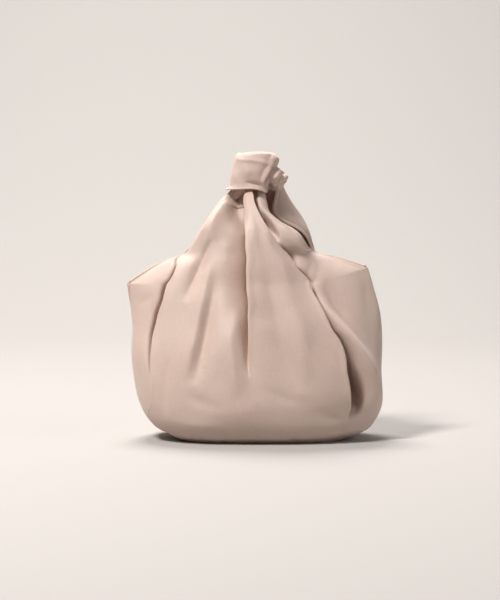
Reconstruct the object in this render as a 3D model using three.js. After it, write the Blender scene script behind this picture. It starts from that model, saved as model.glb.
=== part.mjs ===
// A mini bag of soft satin: two panels and a boxed base, lined, whose front and back
// rise to ears that are knotted together above the pouch. The knot is the handle, and
// the bag's mouth is open at its left and right, between the ears.
// Millimetres. X to the right, Y to the back, Z up; the bag stands on the plane Z = 0.
import * as THREE from 'three';
import { mergeVertices } from 'three/addons/utils/BufferGeometryUtils.js';

// Cloth and sewing.
const PANEL_CLOTH = 1.2;        // satin with its interlining
const LINING_CLOTH = 0.8;
const LAYER_GAP = 0.35;         // between the panel and its lining
const SEAM_GAP = 0.4;           // between two pieces that are sewn edge to edge
const BINDING_WIDTH = 2.2;      // folded edge along the mouth
const BINDING_GAP = 0.6;        // between it and the cloth's edge, which curls and turns
const BINDING_PROUD = 0.25;     // how far its faces stand over the cloth that it holds
const BINDING_FROM = 0.35;      // where it starts above the mouth's corner, in rows of facets

// The pouch. Left and right are measured from the middle of the bag.
const BASE_LEFT = 72;           // the flat base
const BASE_RIGHT = 84;
const BASE_DEPTH = 88;
const POUCH_LEFT = 116;         // the belly at its widest
const POUCH_RIGHT = 120;
const POUCH_DEPTH = 132;
const BELLY_HEIGHT = 74;        // where the belly is widest
const FOOT_HEIGHT = 12;         // where the cloth turns up from the base

// The two corners where the mouth's edges meet at the side seams.
const LEFT_CORNER = { reach: 120, height: 146 };
const RIGHT_CORNER = { reach: 106, height: 161 };

// The ears, from the shoulder up to the knot. y is an ear's middle, front to back.
const SHOULDER_HEIGHT = 177;
const KNOT_FOOT = 238;          // underside of the knot
const NECK_LENGTH = 8;          // how far each ear runs on inside the knot
const FRONT_NECK = { x: -6, y: -7, width: 29, depth: 15, lean: 1 };
const BACK_NECK = { x: 17, y: 14, width: 19, depth: 13, lean: 0 };

// The knot: the back ear's end wrapped round the front ear's neck.
const KNOT_HEIGHT = 33.5;
const WRAP_HEIGHT = 27;         // height of the wrapped band
const WRAP_CLOTH = 2.4;         // the ear's end, folded double
const WRAP_EASE = 0.6;          // between the band and the neck that it holds
const KNOT_LEAN = 8.6;            // how far the knot's top stands to the right of its foot
const TWIST_END = { width: 12, height: 17 };   // the back ear's gathered end, beside the band

const EDGE_FADE = 0.12;         // the folds fade out where a face is this near its edge

// How finely the cloth is faceted.
const ACROSS = 32;
const UP = 20;
const AROUND = 32;
const CORNER_AT = 0.55;         // where the mouth's corner lies up a panel, 0 base, 1 knot

const deg = THREE.MathUtils.degToRad;
const mix = THREE.MathUtils.lerp;
const signedPower = (value, power) => Math.sign(value) * Math.abs(value) ** power;
const liningFrom = PANEL_CLOTH + LAYER_GAP;
const liningTo = liningFrom + LINING_CLOTH;

// Height of an ear's section: 0 at the shoulder and 1 at the knot's underside.
const earHeight = (share) => mix(SHOULDER_HEIGHT, KNOT_FOOT, share);

// A section across a panel is an arc. at: its place up the panel; mid, left, right:
// heights at its middle and its two edges; reachLeft, reachRight: its sides; y: the arc's
// centre; depth: from there to its face; turnLeft, turnRight: how far round the arc goes,
// in degrees from the middle of its face. side and face shape it: 1 and 1 is an ellipse,
// less is fuller, and a face of 3 brings the two panels together flat at the side seam.
const upPouch = (share) => ({
  reachLeft: mix(BASE_LEFT, POUCH_LEFT, share), reachRight: mix(BASE_RIGHT, POUCH_RIGHT, share),
});
const upWing = (share) => ({
  left: mix(BELLY_HEIGHT, LEFT_CORNER.height, share),
  right: mix(BELLY_HEIGHT, RIGHT_CORNER.height, share),
  reachLeft: mix(POUCH_LEFT, LEFT_CORNER.reach, share ** 5),
  reachRight: mix(POUCH_RIGHT, RIGHT_CORNER.reach, share ** 3),
});
const faceDepth = (share) => mix(BASE_DEPTH, POUCH_DEPTH, share) / 2;
const pouchSections = [
  { at: 0.0, mid: 0, left: 0, right: 0, ...upPouch(0), depth: faceDepth(0), side: 0.66, face: 0.66 },
  {
    at: 0.1, mid: FOOT_HEIGHT - 2, left: FOOT_HEIGHT + 2, right: FOOT_HEIGHT, ...upPouch(0.55),
    depth: faceDepth(0.62), side: 0.74, face: 0.74,
  },
  {
    at: 0.21, mid: FOOT_HEIGHT + 20, left: FOOT_HEIGHT + 25, right: FOOT_HEIGHT + 23, ...upPouch(0.87),
    depth: faceDepth(0.95), side: 0.82, face: 0.85,
  },
  { at: 0.33, mid: BELLY_HEIGHT, ...upWing(0), depth: faceDepth(1), side: 0.88, face: 1 },
  {
    at: 0.44, mid: BELLY_HEIGHT + 38, ...upWing(0.5), depth: faceDepth(1) - 5, side: 0.95, face: 1.5,
    flat: 0.45,
  },
  {
    at: CORNER_AT, mid: BELLY_HEIGHT + 72, ...upWing(1), depth: faceDepth(1) - 14, side: 1, face: 2.4,
    flat: 1, corner: true,
  },
].map((section) => ({ flat: 0, ...section, y: 0, turnLeft: 90, turnRight: 90 }));

// An ear's neck is as wide as the knot lets it be, from just under the knot to its own end.
const neckSection = (at, height, neck, turnLeft, turnRight) => {
  const x = neck.x + (neck.lean * KNOT_LEAN * height) / KNOT_HEIGHT;
  return {
    at, mid: KNOT_FOOT + height, left: KNOT_FOOT + height, right: KNOT_FOOT + height,
    reachLeft: neck.width / 2 - x, reachRight: neck.width / 2 + x,
    y: neck.y, depth: neck.depth / 2, turnLeft, turnRight, side: 1, face: 1,
  };
};

const frontSections = [
  ...pouchSections,
  {
    at: 0.605, mid: earHeight(-0.22), left: earHeight(-0.2), right: earHeight(-0.1), reachLeft: 91,
    reachRight: 76, y: -7, depth: 43, turnLeft: 90, turnRight: 90, side: 1, face: 2.2, flat: 0.4,
  },
  {
    at: 0.66, mid: earHeight(0), left: earHeight(-0.02), right: earHeight(-0.01), reachLeft: 66,
    reachRight: 54, y: -15, depth: 32, turnLeft: 90, turnRight: 88, side: 1, face: 2,
  },
  {
    at: 0.78, mid: earHeight(0.42), left: earHeight(0.36), right: earHeight(0.24), reachLeft: 49,
    reachRight: 47, y: -17, depth: 22, turnLeft: 112, turnRight: 62, side: 1, face: 0.8, faceLeft: 0.5,
  },
  {
    at: 0.89, mid: earHeight(0.8), left: earHeight(0.76), right: earHeight(0.56), reachLeft: 33,
    reachRight: 17.5, y: -12, depth: 15, turnLeft: 125, turnRight: 72, side: 1, face: 0.8, faceLeft: 0.55,
  },
  neckSection(0.95, -1, FRONT_NECK, 142, 98),
  neckSection(1, NECK_LENGTH, FRONT_NECK, 142, 112),
];

const backSections = [
  ...pouchSections,
  {
    at: 0.605, mid: earHeight(-0.24), left: earHeight(-0.3), right: earHeight(-0.17), reachLeft: 88,
    reachRight: 78, y: 6, depth: 43, turnLeft: 90, turnRight: 90, side: 1, face: 2.2, flat: 0.4,
  },
  {
    at: 0.66, mid: earHeight(0), left: earHeight(-0.14), right: earHeight(-0.12), reachLeft: 57,
    reachRight: 61, y: 14, depth: 32, turnLeft: 90, turnRight: 90, side: 1, face: 1.7,
  },
  {
    at: 0.78, mid: earHeight(0.42), left: earHeight(0.3), right: earHeight(0.3), reachLeft: 35,
    reachRight: 49.5, y: 18, depth: 24, turnLeft: 102, turnRight: 116, side: 1, face: 1,
  },
  {
    at: 0.89, mid: earHeight(0.8), left: earHeight(0.72), right: earHeight(0.62), reachLeft: 11,
    reachRight: 33.5, y: 17, depth: 15, turnLeft: 108, turnRight: 161, side: 1, face: 1,
  },
  neckSection(0.95, -1, BACK_NECK, 112, 146),
  neckSection(1, NECK_LENGTH, BACK_NECK, 114, 136),
];

// The main folds that run down from the knot. A fold's stops are its height, its place
// across the bag, how far it spreads to its left and to its right, and how deep the cloth
// sinks there, or how far it stands out where that is negative. They are drawn for a bag
// of the sizes below, and grow with it.
const DRAWN = { half: 120, high: 238, deep: 132 };
const frontFolds = [
  {
    name: 'crease', stops: [[238, -10, 9, 4, 0], [222, -10, 12, 5, 8], [204, -10.5, 15, 5.5, 13],
      [164, -9.5, 14, 6, 14], [132, -8.5, 10, 6, 11], [110, -8.5, 8, 6, 7], [88, -9, 7, 6, 3],
      [62, -9.5, 7, 6, 0]],
  },
  {
    name: 'crest', stops: [[226, -5, 7, 8, 0], [207, -3, 8, 9, -2.5], [179, 3, 9, 12, -4], [151, 9, 11, 13, -3],
      [118, 12, 12, 13, 0]],
  },
  {
    name: 'left pleat', stops: [[177, -69, 8, 8, 0], [150, -80, 9, 7, 9], [115, -92, 8, 7, 10],
      [75, -98, 8, 7, 4], [40, -98, 8, 8, 0]],
  },
  {
    name: 'left valley', stops: [[184, -43, 8, 8, 0], [160, -52, 9, 9, 3], [140, -45, 12, 10, 5],
      [117, -46, 12, 10, 6], [97, -50, 11, 10, 5], [77, -54, 10, 9, 3.5], [50, -58, 9, 9, 0]],
  },
  {
    name: 'left ridge', stops: [[152, -25, 9, 9, 0], [130, -27, 9, 9, -3], [100, -29, 10, 9, -5],
      [72, -31, 10, 10, -3], [45, -32, 10, 10, 0]],
  },
  {
    name: 'right pleat', stops: [[234, 0, 4, 5, 0], [214, 8, 5, 6, 5], [199, 18, 5, 7, 7], [175, 31, 5, 7, 6],
      [158, 42, 5, 7, 6], [138, 54, 6, 7, 7], [113, 67, 6, 8, 10], [95, 77, 10, 10, 12.5], [75, 87, 12, 11, 18],
      [56, 92, 12, 12, 22], [43, 94, 12, 12, 19], [32, 95, 11, 12, 10], [18, 94, 9, 11, 0]],
  },
  {
    name: 'fold over the right pleat', stops: [[190, 14, 7, 6, 0], [160, 32, 9, 6, -3], [130, 48, 11, 7, -4.5],
      [95, 65, 12, 8, -4], [60, 76, 13, 8, -3.5], [34, 80, 13, 6, -2], [18, 78, 12, 8, 0]],
  },
  {
    name: 'right ridge', stops: [[172, 4, 9, 9, 0], [135, 27, 10, 10, -3], [110, 38, 11, 10, -4.5],
      [85, 44, 11, 10, -4], [50, 46, 11, 11, 0]],
  },
  {
    name: 'roll', stops: [[142, 56, 8, 7, 0], [124, 64, 8, 8, -3], [100, 84, 8, 9, -5], [80, 100, 8, 10, -7],
      [56, 108, 7, 9, -6], [30, 108, 7, 9, -5], [12, 100, 8, 9, 0]],
  },
];
const backFolds = [
  {
    name: 'middle pleat', stops: [[238, 15, 5, 7, 0], [205, 11, 6, 9, 6], [170, 5, 7, 9, 8], [130, 1, 7, 9, 7],
      [100, -1, 7, 9, 4], [66, -2, 8, 8, 0]],
  },
  {
    name: 'far left pleat', stops: [[186, -42, 6, 6, 0], [160, -60, 7, 9, 7], [130, -74, 8, 10, 9],
      [100, -82, 7, 10, 9], [70, -86, 7, 9, 5], [42, -86, 8, 8, 0]],
  },
  {
    name: 'far right pleat', stops: [[230, 24, 5, 5, 0], [200, 34, 7, 6, 5], [170, 48, 9, 7, 8],
      [135, 65, 10, 7, 10], [100, 79, 10, 7, 12], [68, 89, 10, 7, 10], [38, 94, 9, 8, 0]],
  },
  {
    name: 'right ridge', stops: [[212, 22, 7, 6, 0], [175, 28, 9, 8, -4], [135, 34, 12, 11, -5], [84, 36, 12, 12, 0]],
  },
  {
    name: 'fold over the right pleat', stops: [[190, 44, 5, 7, 0], [160, 62, 6, 8, -3], [120, 82, 8, 9, -4.5],
      [80, 99, 7, 9, -5], [50, 105, 7, 8, -4], [26, 102, 8, 8, 0]],
  },
  {
    name: 'left ridge', stops: [[208, -2, 7, 7, 0], [170, -13, 9, 8, -3.5], [130, -23, 11, 10, -4], [82, -28, 12, 12, 0]],
  },
  {
    name: 'left valley', stops: [[202, -12, 7, 7, 0], [170, -30, 9, 8, 4], [135, -44, 10, 10, 4], [96, -51, 10, 10, 0]],
  },
  {
    name: 'fold over the left pleat', stops: [[180, -52, 8, 5, 0], [150, -76, 9, 7, -2.5], [115, -90, 10, 7, -5],
      [75, -96, 10, 7, -3.5], [40, -96, 9, 8, 0]],
  },
];

// A smooth curve through values at rising stops. Where it is told to rest, its slope is 0.
function smooth(stops, values, at, restAt = -1) {
  let i = 0;
  while (i < stops.length - 2 && at > stops[i + 1]) i++;
  const slope = (k) => {
    if (k === restAt) return 0;
    const before = Math.max(k - 1, 0);
    const after = Math.min(k + 1, stops.length - 1);
    return (values[after] - values[before]) / (stops[after] - stops[before]);
  };
  const span = stops[i + 1] - stops[i];
  const t = THREE.MathUtils.clamp((at - stops[i]) / span, 0, 1);
  const t2 = t * t;
  const t3 = t2 * t;
  return (2 * t3 - 3 * t2 + 1) * values[i] + (t3 - 2 * t2 + t) * span * slope(i)
    + (3 * t2 - 2 * t3) * values[i + 1] + (t3 - t2) * span * slope(i + 1);
}

// How deep the folds sink the cloth at a place on the panel's face.
function foldDepth(folds, x, z) {
  const place = (x / POUCH_RIGHT) * DRAWN.half;
  const height = (z / KNOT_FOOT) * DRAWN.high;
  let depth = 0;
  for (const { stops } of folds) {
    if (height > stops[0][0] || height < stops.at(-1)[0]) continue;
    const value = (k) => smooth(stops.map((stop) => -stop[0]), stops.map((stop) => stop[k]), -height);
    const away = place - value(1);
    depth += value(4) * Math.exp(-((away / value(away < 0 ? 2 : 3)) ** 2));
  }
  return (depth * POUCH_DEPTH) / DRAWN.deep;
}

// A panel: its sections, its folds, and which way it faces: -1 to the front, 1 to the back.
const FRONT = { sections: frontSections, folds: frontFolds, facing: -1 };
const BACK = { sections: backSections, folds: backFolds, facing: 1 };
for (const panel of [FRONT, BACK]) {
  panel.stops = panel.sections.map((section) => section.at);
  panel.sections = panel.sections.map((section) => ({ flat: 0, ...section }));
  panel.corner = panel.sections.findIndex((section) => section.corner);
}

// A point of a panel's outer face. u runs from -1 at its left edge to 1 at its right edge,
// v from 0 at the base to 1 inside the knot.
function pointOn(panel, u, v) {
  const value = (key, rests = false) => smooth(
    panel.stops, panel.sections.map((section) => section[key]), v, rests ? panel.corner : -1,
  );
  const turnTo = value(u < 0 ? 'turnLeft' : 'turnRight', true);
  const turn = deg(u * turnTo);
  const left = value('reachLeft', true);
  const right = value('reachRight', true);
  const faceTo = (section) => (u < 0 ? section.faceLeft ?? section.face : section.face);
  const face = signedPower(Math.cos(turn), smooth(panel.stops, panel.sections.map(faceTo), v));
  const x = (right - left) / 2 + ((right + left) / 2) * signedPower(Math.sin(turn), value('side'));
  const curl = THREE.MathUtils.clamp((turnTo - 90) / 30, 0, 1);
  const outward = mix(Math.abs(Math.sin(turn)), Math.abs(u), curl);
  const z = mix(value('mid'), value(u < 0 ? 'left' : 'right', true), outward ** 2.5);
  const fade = Math.max(face, 0) ** 0.5 * THREE.MathUtils.smoothstep(face, 0, EDGE_FADE);
  const sunk = v > 0 ? foldDepth(panel.folds, x, z) * fade : 0;
  const layers = SEAM_GAP / 2 + value('flat', true) * liningTo;
  const y = value('y', true) + panel.facing * (value('depth') * face - sunk + layers);
  return new THREE.Vector3(x, y, Math.max(z, 0));
}

function normalOn(panel, u, v) {
  if (v < 1e-6) return new THREE.Vector3(0, 0, -1);
  const step = 0.01;
  const right = pointOn(panel, Math.min(u + step, 1), v);
  right.sub(pointOn(panel, Math.max(u - step, -1), v));
  const up = pointOn(panel, u, Math.min(v + step, 1));
  up.sub(pointOn(panel, u, Math.max(v - step, 0)));
  const normal = right.cross(up).normalize();
  if (panel.facing > 0) normal.negate();
  if (v > 1 - 1e-6) return normal.setZ(0).normalize();
  if (Math.abs(u) < 1 - 1e-6 || v > CORNER_AT + 1e-6) return normal;
  // Along the side seam the two panels meet edge to edge below and lie flat together above.
  const flat = smooth(panel.stops, panel.sections.map((section) => section.flat), v, panel.corner);
  const level = Math.sqrt(1 - normal.z ** 2);
  const aside = Math.sign(u) * Math.sqrt(1 - flat ** 2) * level;
  return new THREE.Vector3(aside, panel.facing * flat * level, normal.z);
}

// One closed mesh of points and of faces that list point numbers.
function closedMesh(points, faces) {
  const geometry = new THREE.BufferGeometry();
  const places = points.flatMap((point) => [point.x, point.y, point.z]);
  geometry.setAttribute('position', new THREE.Float32BufferAttribute(places, 3));
  geometry.setIndex(faces.flat());
  return mergeVertices(geometry, 1e-4);
}

// A layer of cloth between two depths under a panel's outer face.
function clothLayer(panel, from, to) {
  const rows = UP + 1;
  const columns = ACROSS + 1;
  const points = [];
  for (const depth of [from, to]) {
    for (let j = 0; j < rows; j++) {
      for (let i = 0; i < columns; i++) {
        const u = -1 + (2 * i) / ACROSS;
        const v = j / UP;
        points.push(pointOn(panel, u, v).addScaledVector(normalOn(panel, u, v), -depth));
      }
    }
  }
  const at = (side, i, j) => side * rows * columns + j * columns + i;
  const faces = [];
  const quad = (a, b, c, d) => {
    if (panel.facing < 0) faces.push([a, b, c], [a, c, d]);
    else faces.push([a, c, b], [a, d, c]);
  };
  for (let j = 0; j < UP; j++) {
    for (let i = 0; i < ACROSS; i++) {
      quad(at(0, i, j), at(0, i + 1, j), at(0, i + 1, j + 1), at(0, i, j + 1));
      quad(at(1, i, j), at(1, i, j + 1), at(1, i + 1, j + 1), at(1, i + 1, j));
    }
    quad(at(1, 0, j), at(0, 0, j), at(0, 0, j + 1), at(1, 0, j + 1));
    quad(at(0, ACROSS, j), at(1, ACROSS, j), at(1, ACROSS, j + 1), at(0, ACROSS, j + 1));
  }
  for (let i = 0; i < ACROSS; i++) {
    quad(at(0, i + 1, 0), at(0, i, 0), at(1, i, 0), at(1, i + 1, 0));
    quad(at(0, i, UP), at(0, i + 1, UP), at(1, i + 1, UP), at(1, i, UP));
  }
  return closedMesh(points, faces);
}

// A closed body from rings of points, each ring counter-clockwise seen from its far end.
// With two skins, the first rings run up the outside and the rest down the inside.
function ringBody(rings, capped) {
  const count = rings[0].length;
  const points = rings.flat();
  const faces = [];
  const links = capped ? rings.length - 1 : rings.length;
  for (let j = 0; j < links; j++) {
    const next = ((j + 1) % rings.length) * count;
    for (let i = 0; i < count; i++) {
      const k = (i + 1) % count;
      faces.push([j * count + i, j * count + k, next + k], [j * count + i, next + k, next + i]);
    }
  }
  if (capped) {
    for (const [ring, flip] of [[0, true], [rings.length - 1, false]]) {
      const centre = rings[ring].reduce((sum, p) => sum.add(p), new THREE.Vector3()).divideScalar(count);
      points.push(centre);
      for (let i = 0; i < count; i++) {
        const a = ring * count + i;
        const b = ring * count + ((i + 1) % count);
        faces.push(flip ? [b, a, points.length - 1] : [a, b, points.length - 1]);
      }
    }
  }
  return closedMesh(points, faces);
}

// A ring of a squared ellipse, flat at a height.
function flatRing({ x, y, z, halfWidth, halfDepth, square = 1 }) {
  return Array.from({ length: AROUND }, (_, i) => {
    const turn = (2 * Math.PI * i) / AROUND;
    return new THREE.Vector3(
      x + halfWidth * signedPower(Math.cos(turn), square),
      y + halfDepth * signedPower(Math.sin(turn), square),
      z,
    );
  });
}

// The base closes the pouch between the panels' lower edges.
function baseLayer(from, to) {
  const outline = (height) => [...Array(2 * ACROSS).keys()].map((i) => {
    const panel = i < ACROSS ? FRONT : BACK;
    const u = i < ACROSS ? -1 + (2 * i) / ACROSS : 1 - (2 * (i - ACROSS)) / ACROSS;
    const rim = pointOn(panel, u, 0);
    const middle = (BASE_RIGHT - BASE_LEFT) / 2;
    const inward = new THREE.Vector3(middle - rim.x, -rim.y, 0);
    return rim.addScaledVector(inward.normalize(), SEAM_GAP * 1.25).setZ(height);
  });
  return ringBody([outline(from), outline(to)], true);
}

const roundedSection = [
  [-1, -0.5], [-0.5, -1], [0.5, -1], [1, -0.5], [1, 0.5], [0.5, 1], [-0.5, 1], [-1, 0.5],
];

// The folded edge along one side of a panel's mouth, from the side seam to the knot. It
// follows the facets of the panel's edge, so that it stands an even gap off it.
function binding(panel, side) {
  const first = Math.round(CORNER_AT * UP);
  const last = UP - 1;
  const rim = (row, depth, inset = 0) => {
    const at = (j) => {
      const v = j / UP;
      const u = side * (1 - (2 * inset) / ACROSS);
      return pointOn(panel, u, v).addScaledVector(normalOn(panel, u, v), -depth);
    };
    const below = Math.floor(row);
    return row === below ? at(below) : at(below).lerp(at(below + 1), row - below);
  };
  const rows = [first + BINDING_FROM];
  for (let j = first + 1; j <= last; j++) rows.push(j);
  const middleOf = (row) => rim(row, 0).add(rim(row, liningTo)).multiplyScalar(0.5);
  const rings = rows.map((row, j) => {
    const middle = middleOf(row);
    const run = middleOf(rows[Math.min(j + 1, rows.length - 1)]);
    run.sub(middleOf(rows[Math.max(j - 1, 0)])).normalize();
    const thickness = rim(row, 0).sub(rim(row, liningTo));
    const normal = thickness.clone().addScaledVector(run, -thickness.dot(run)).normalize();
    const out = run.clone().cross(normal).normalize();
    const inner = rim(row, liningTo / 2, 3);
    if (out.dot(middle.clone().sub(inner)) < 0) out.negate();
    const thick = liningTo + 2 * BINDING_PROUD;
    const centre = middle.clone().addScaledVector(out, BINDING_GAP + BINDING_WIDTH / 2);
    const ring = roundedSection.map(([a, b]) => centre.clone()
      .addScaledVector(out, (a * BINDING_WIDTH) / 2)
      .addScaledVector(normal, (b * thick) / 2));
    return side * panel.facing < 0 ? ring.reverse() : ring;
  });
  return ringBody(rings, true);
}

// The knot's sections, from its foot to its top, as the band's outer face.
const neckHalfWidth = FRONT_NECK.width / 2 + WRAP_EASE + WRAP_CLOTH;
const neckHalfDepth = FRONT_NECK.depth / 2 + WRAP_EASE + WRAP_CLOTH;
const knotSection = (share, wider, deeper) => ({
  x: FRONT_NECK.x + FRONT_NECK.lean * KNOT_LEAN * share,
  y: FRONT_NECK.y,
  z: KNOT_FOOT + KNOT_HEIGHT * share,
  halfWidth: neckHalfWidth + wider,
  halfDepth: neckHalfDepth + deeper,
  square: 0.8,
});
const bandShare = WRAP_HEIGHT / KNOT_HEIGHT;
const bandSections = [
  knotSection(0, 2.4, 2.0),
  knotSection(0.12 * bandShare, 0.8, 0.8),
  knotSection(0.4 * bandShare, 1.4, 1.8),
  knotSection(0.75 * bandShare, 2.4, 2.4),
  knotSection(bandShare, 1.6, 1.4),
];

// The band is a sleeve: up its outer face and down its inner one.
function knotBand() {
  const inside = bandSections.map((section) => ({
    ...section, halfWidth: section.halfWidth - WRAP_CLOTH, halfDepth: section.halfDepth - WRAP_CLOTH,
  }));
  return ringBody([...bandSections.map(flatRing), ...inside.reverse().map(flatRing)], false);
}

// The front ear's end fills the band and is folded down over the band's upper edge.
function frontEarEnd() {
  const plug = (share) => {
    const section = knotSection(share, 0, 0);
    const rim = bandSections.at(-1);
    const inset = WRAP_CLOTH + WRAP_EASE;
    return {
      ...section,
      halfWidth: Math.min(section.halfWidth, rim.halfWidth) - inset,
      halfDepth: Math.min(section.halfDepth, rim.halfDepth) - inset,
    };
  };
  const start = (NECK_LENGTH + SEAM_GAP) / KNOT_HEIGHT;
  const over = bandShare + SEAM_GAP / KNOT_HEIGHT;
  const cap = (share, shrink) => {
    const rim = bandSections.at(-1);
    const section = knotSection(share, 0, 0);
    return { ...section, halfWidth: rim.halfWidth - shrink, halfDepth: rim.halfDepth - shrink };
  };
  return ringBody([
    plug(start), plug(bandShare * 0.7), plug(over),
    cap(over, 0.6), cap(mix(over, 1, 0.45), 0.4), cap(mix(over, 1, 0.85), 2.2), cap(1, 5.5),
  ].map(flatRing), true);
}

// The back ear's end, gathered and turned over the band's right side into the knot.
function backEarTwist() {
  const rim = knotSection(0.65, 2.4, 2.4);
  const reach = rim.x + rim.halfWidth + SEAM_GAP + TWIST_END.width / 2;
  const start = new THREE.Vector3(BACK_NECK.x, BACK_NECK.y, KNOT_FOOT + NECK_LENGTH + SEAM_GAP);
  const path = new THREE.CatmullRomCurve3([
    start,
    new THREE.Vector3(mix(BACK_NECK.x, reach, 0.5), BACK_NECK.y - 2, start.z + 6),
    new THREE.Vector3(reach, FRONT_NECK.y + 10, start.z + 10.5),
    new THREE.Vector3(reach, FRONT_NECK.y, start.z + 10.5),
  ]);
  const steps = 10;
  const rings = [];
  for (let j = 0; j <= steps; j++) {
    const share = j / steps;
    const centre = path.getPoint(share);
    const along = new THREE.Vector3(0, 0, 1);
    along.lerp(path.getTangent(share), Math.min(2 * share, 1)).normalize();
    const across = new THREE.Vector3(1, 0, 0).addScaledVector(along, -along.x).normalize();
    const other = along.clone().cross(across);
    const wide = mix(BACK_NECK.width / 2, TWIST_END.width / 2, share ** 0.6);
    const deep = mix(BACK_NECK.depth / 2, TWIST_END.height / 2, share);
    rings.push([...Array(AROUND / 2).keys()].map((i) => {
      const turn = (4 * Math.PI * i) / AROUND;
      return centre.clone()
        .addScaledVector(across, wide * Math.cos(turn))
        .addScaledVector(other, deep * Math.sin(turn));
    }));
  }
  return ringBody(rings, true);
}

const cloth = (name, color) => {
  const material = new THREE.MeshStandardMaterial({ color, roughness: 0.5, metalness: 0 });
  material.name = name;
  return material;
};
const satin = () => cloth('satin', 0xd9beae);
const lining = () => cloth('lining', 0xc9ab9a);

const bag = new THREE.Group();
function piece(name, geometry, finish) {
  const mesh = new THREE.Mesh(geometry, finish());
  mesh.name = name;
  bag.add(mesh);
}

piece('front_panel', clothLayer(FRONT, 0, PANEL_CLOTH), satin);
piece('back_panel', clothLayer(BACK, 0, PANEL_CLOTH), satin);
piece('base_panel', baseLayer(0, PANEL_CLOTH), satin);
piece('front_lining', clothLayer(FRONT, liningFrom, liningTo), lining);
piece('back_lining', clothLayer(BACK, liningFrom, liningTo), lining);
piece('base_lining', baseLayer(liningFrom, liningTo), lining);
for (const [name, panel] of [['front', FRONT], ['back', BACK]]) {
  piece(`${name}_left_binding`, binding(panel, -1), satin);
  piece(`${name}_right_binding`, binding(panel, 1), satin);
}
piece('knot_band', knotBand(), satin);
piece('front_ear_end', frontEarEnd(), satin);
piece('back_ear_twist', backEarTwist(), satin);

export default bag;
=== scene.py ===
# %% [markdown]
# # Knotted mini bag
# A small lined satin pouch with a boxed base. Its front and back rise to ears that are
# tied in one knot, and the camera sees the front from slightly above.
#
# The bag's packed model gives the frame for all that follows, so it is loaded first.
# Pieces could be made anywhere and moved into place later. Made in the model's own frame,
# in metres, each can take the place of a solid just as it is.

# %% The packed model's frame
import math
import bmesh
import bpy
import numpy as np
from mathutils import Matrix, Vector


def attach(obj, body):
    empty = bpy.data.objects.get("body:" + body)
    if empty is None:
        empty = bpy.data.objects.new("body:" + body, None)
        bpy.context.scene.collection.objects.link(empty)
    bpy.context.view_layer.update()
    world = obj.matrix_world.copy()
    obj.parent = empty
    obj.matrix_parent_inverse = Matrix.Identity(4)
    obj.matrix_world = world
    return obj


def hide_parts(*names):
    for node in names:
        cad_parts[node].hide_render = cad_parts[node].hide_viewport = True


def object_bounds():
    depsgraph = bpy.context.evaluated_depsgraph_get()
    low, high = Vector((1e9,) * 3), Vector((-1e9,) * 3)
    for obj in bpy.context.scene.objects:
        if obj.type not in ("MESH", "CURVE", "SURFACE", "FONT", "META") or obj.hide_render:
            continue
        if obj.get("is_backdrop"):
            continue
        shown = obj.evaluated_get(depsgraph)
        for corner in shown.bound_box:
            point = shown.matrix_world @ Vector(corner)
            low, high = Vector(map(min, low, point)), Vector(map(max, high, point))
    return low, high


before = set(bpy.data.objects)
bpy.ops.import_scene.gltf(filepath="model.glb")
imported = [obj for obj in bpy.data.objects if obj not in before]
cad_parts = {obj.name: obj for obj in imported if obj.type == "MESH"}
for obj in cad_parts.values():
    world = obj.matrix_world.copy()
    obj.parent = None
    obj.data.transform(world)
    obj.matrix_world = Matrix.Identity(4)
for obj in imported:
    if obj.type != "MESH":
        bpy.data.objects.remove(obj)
cad_box = [list(corner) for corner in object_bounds()]
print("CAD box", cad_box)

# %% [markdown]
# The bag's main sizes. On the real bag they come from its cut panels: a flat base, a
# pouch that is widest above it, a corner at each side and the knot. They could be
# measured off the solids each time. Written down once, in millimetres, they are easy to
# read and to change, and only the meshes are made in metres.

# %% Sizes in millimetres
MM = 0.001
SEAM_FOLD = 0.9
SEAM_GAP = 0.4
BASE_LEFT, BASE_RIGHT, BASE_DEPTH = 72.0, 84.0, 88.0
POUCH_LEFT, POUCH_RIGHT, POUCH_DEPTH = 116.0, 120.0, 132.0
BELLY_HEIGHT = 74.0
FOOT_HEIGHT = 12.0
LEFT_CORNER = dict(reach=120.0, height=146.0)
RIGHT_CORNER = dict(reach=106.0, height=161.0)
SHOULDER_HEIGHT = 177.0
KNOT_FOOT = 238.0
NECK_LENGTH = 8.0
KNOT_HEIGHT = 35.0
KNOT_LEAN = 9.0
CORNER_AT = 0.55
FRONT_NECK = dict(x=-6.0, y=-7.0, width=29.0, depth=15.0, lean=1.0)
BACK_NECK = dict(x=17.0, y=14.0, width=19.0, depth=13.0, lean=0.0)
print("pouch", POUCH_LEFT + POUCH_RIGHT, "mm wide, knot", KNOT_FOOT + KNOT_HEIGHT, "mm up")

# %% [markdown]
# The picture's view. Folds are easiest to place where they are seen, so this works out
# the pixel at which a point shows. Blender's camera could be asked for it, but a few
# lines of perspective work on whole arrays of points, before there is any camera.

# %% Where a point is seen
VIEW_ELEVATION = math.radians(4.5)
VIEW_DISTANCE = 2300.0
VIEW_SCALE = 0.944
VIEW_MIDDLE = (-4.7, 130.4)
FRAME_WIDTH, FRAME_HEIGHT = 500, 600


def to_picture(points):
    """Where points in mm are seen in the picture, in pixels."""
    x, y, z = points[..., 0], points[..., 1], points[..., 2] - VIEW_MIDDLE[1]
    depth = y * math.cos(VIEW_ELEVATION) - z * math.sin(VIEW_ELEVATION)
    rise = z * math.cos(VIEW_ELEVATION) + y * math.sin(VIEW_ELEVATION)
    scale = VIEW_DISTANCE / (VIEW_DISTANCE + depth) / VIEW_SCALE
    return np.stack([
        FRAME_WIDTH / 2 + (x - VIEW_MIDDLE[0]) * scale,
        FRAME_HEIGHT / 2 - rise * scale,
    ], axis=-1)


knot_foot = np.array([FRONT_NECK["x"], FRONT_NECK["y"], KNOT_FOOT])
print("the knot's foot is seen at pixel", to_picture(knot_foot).round(1))

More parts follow.
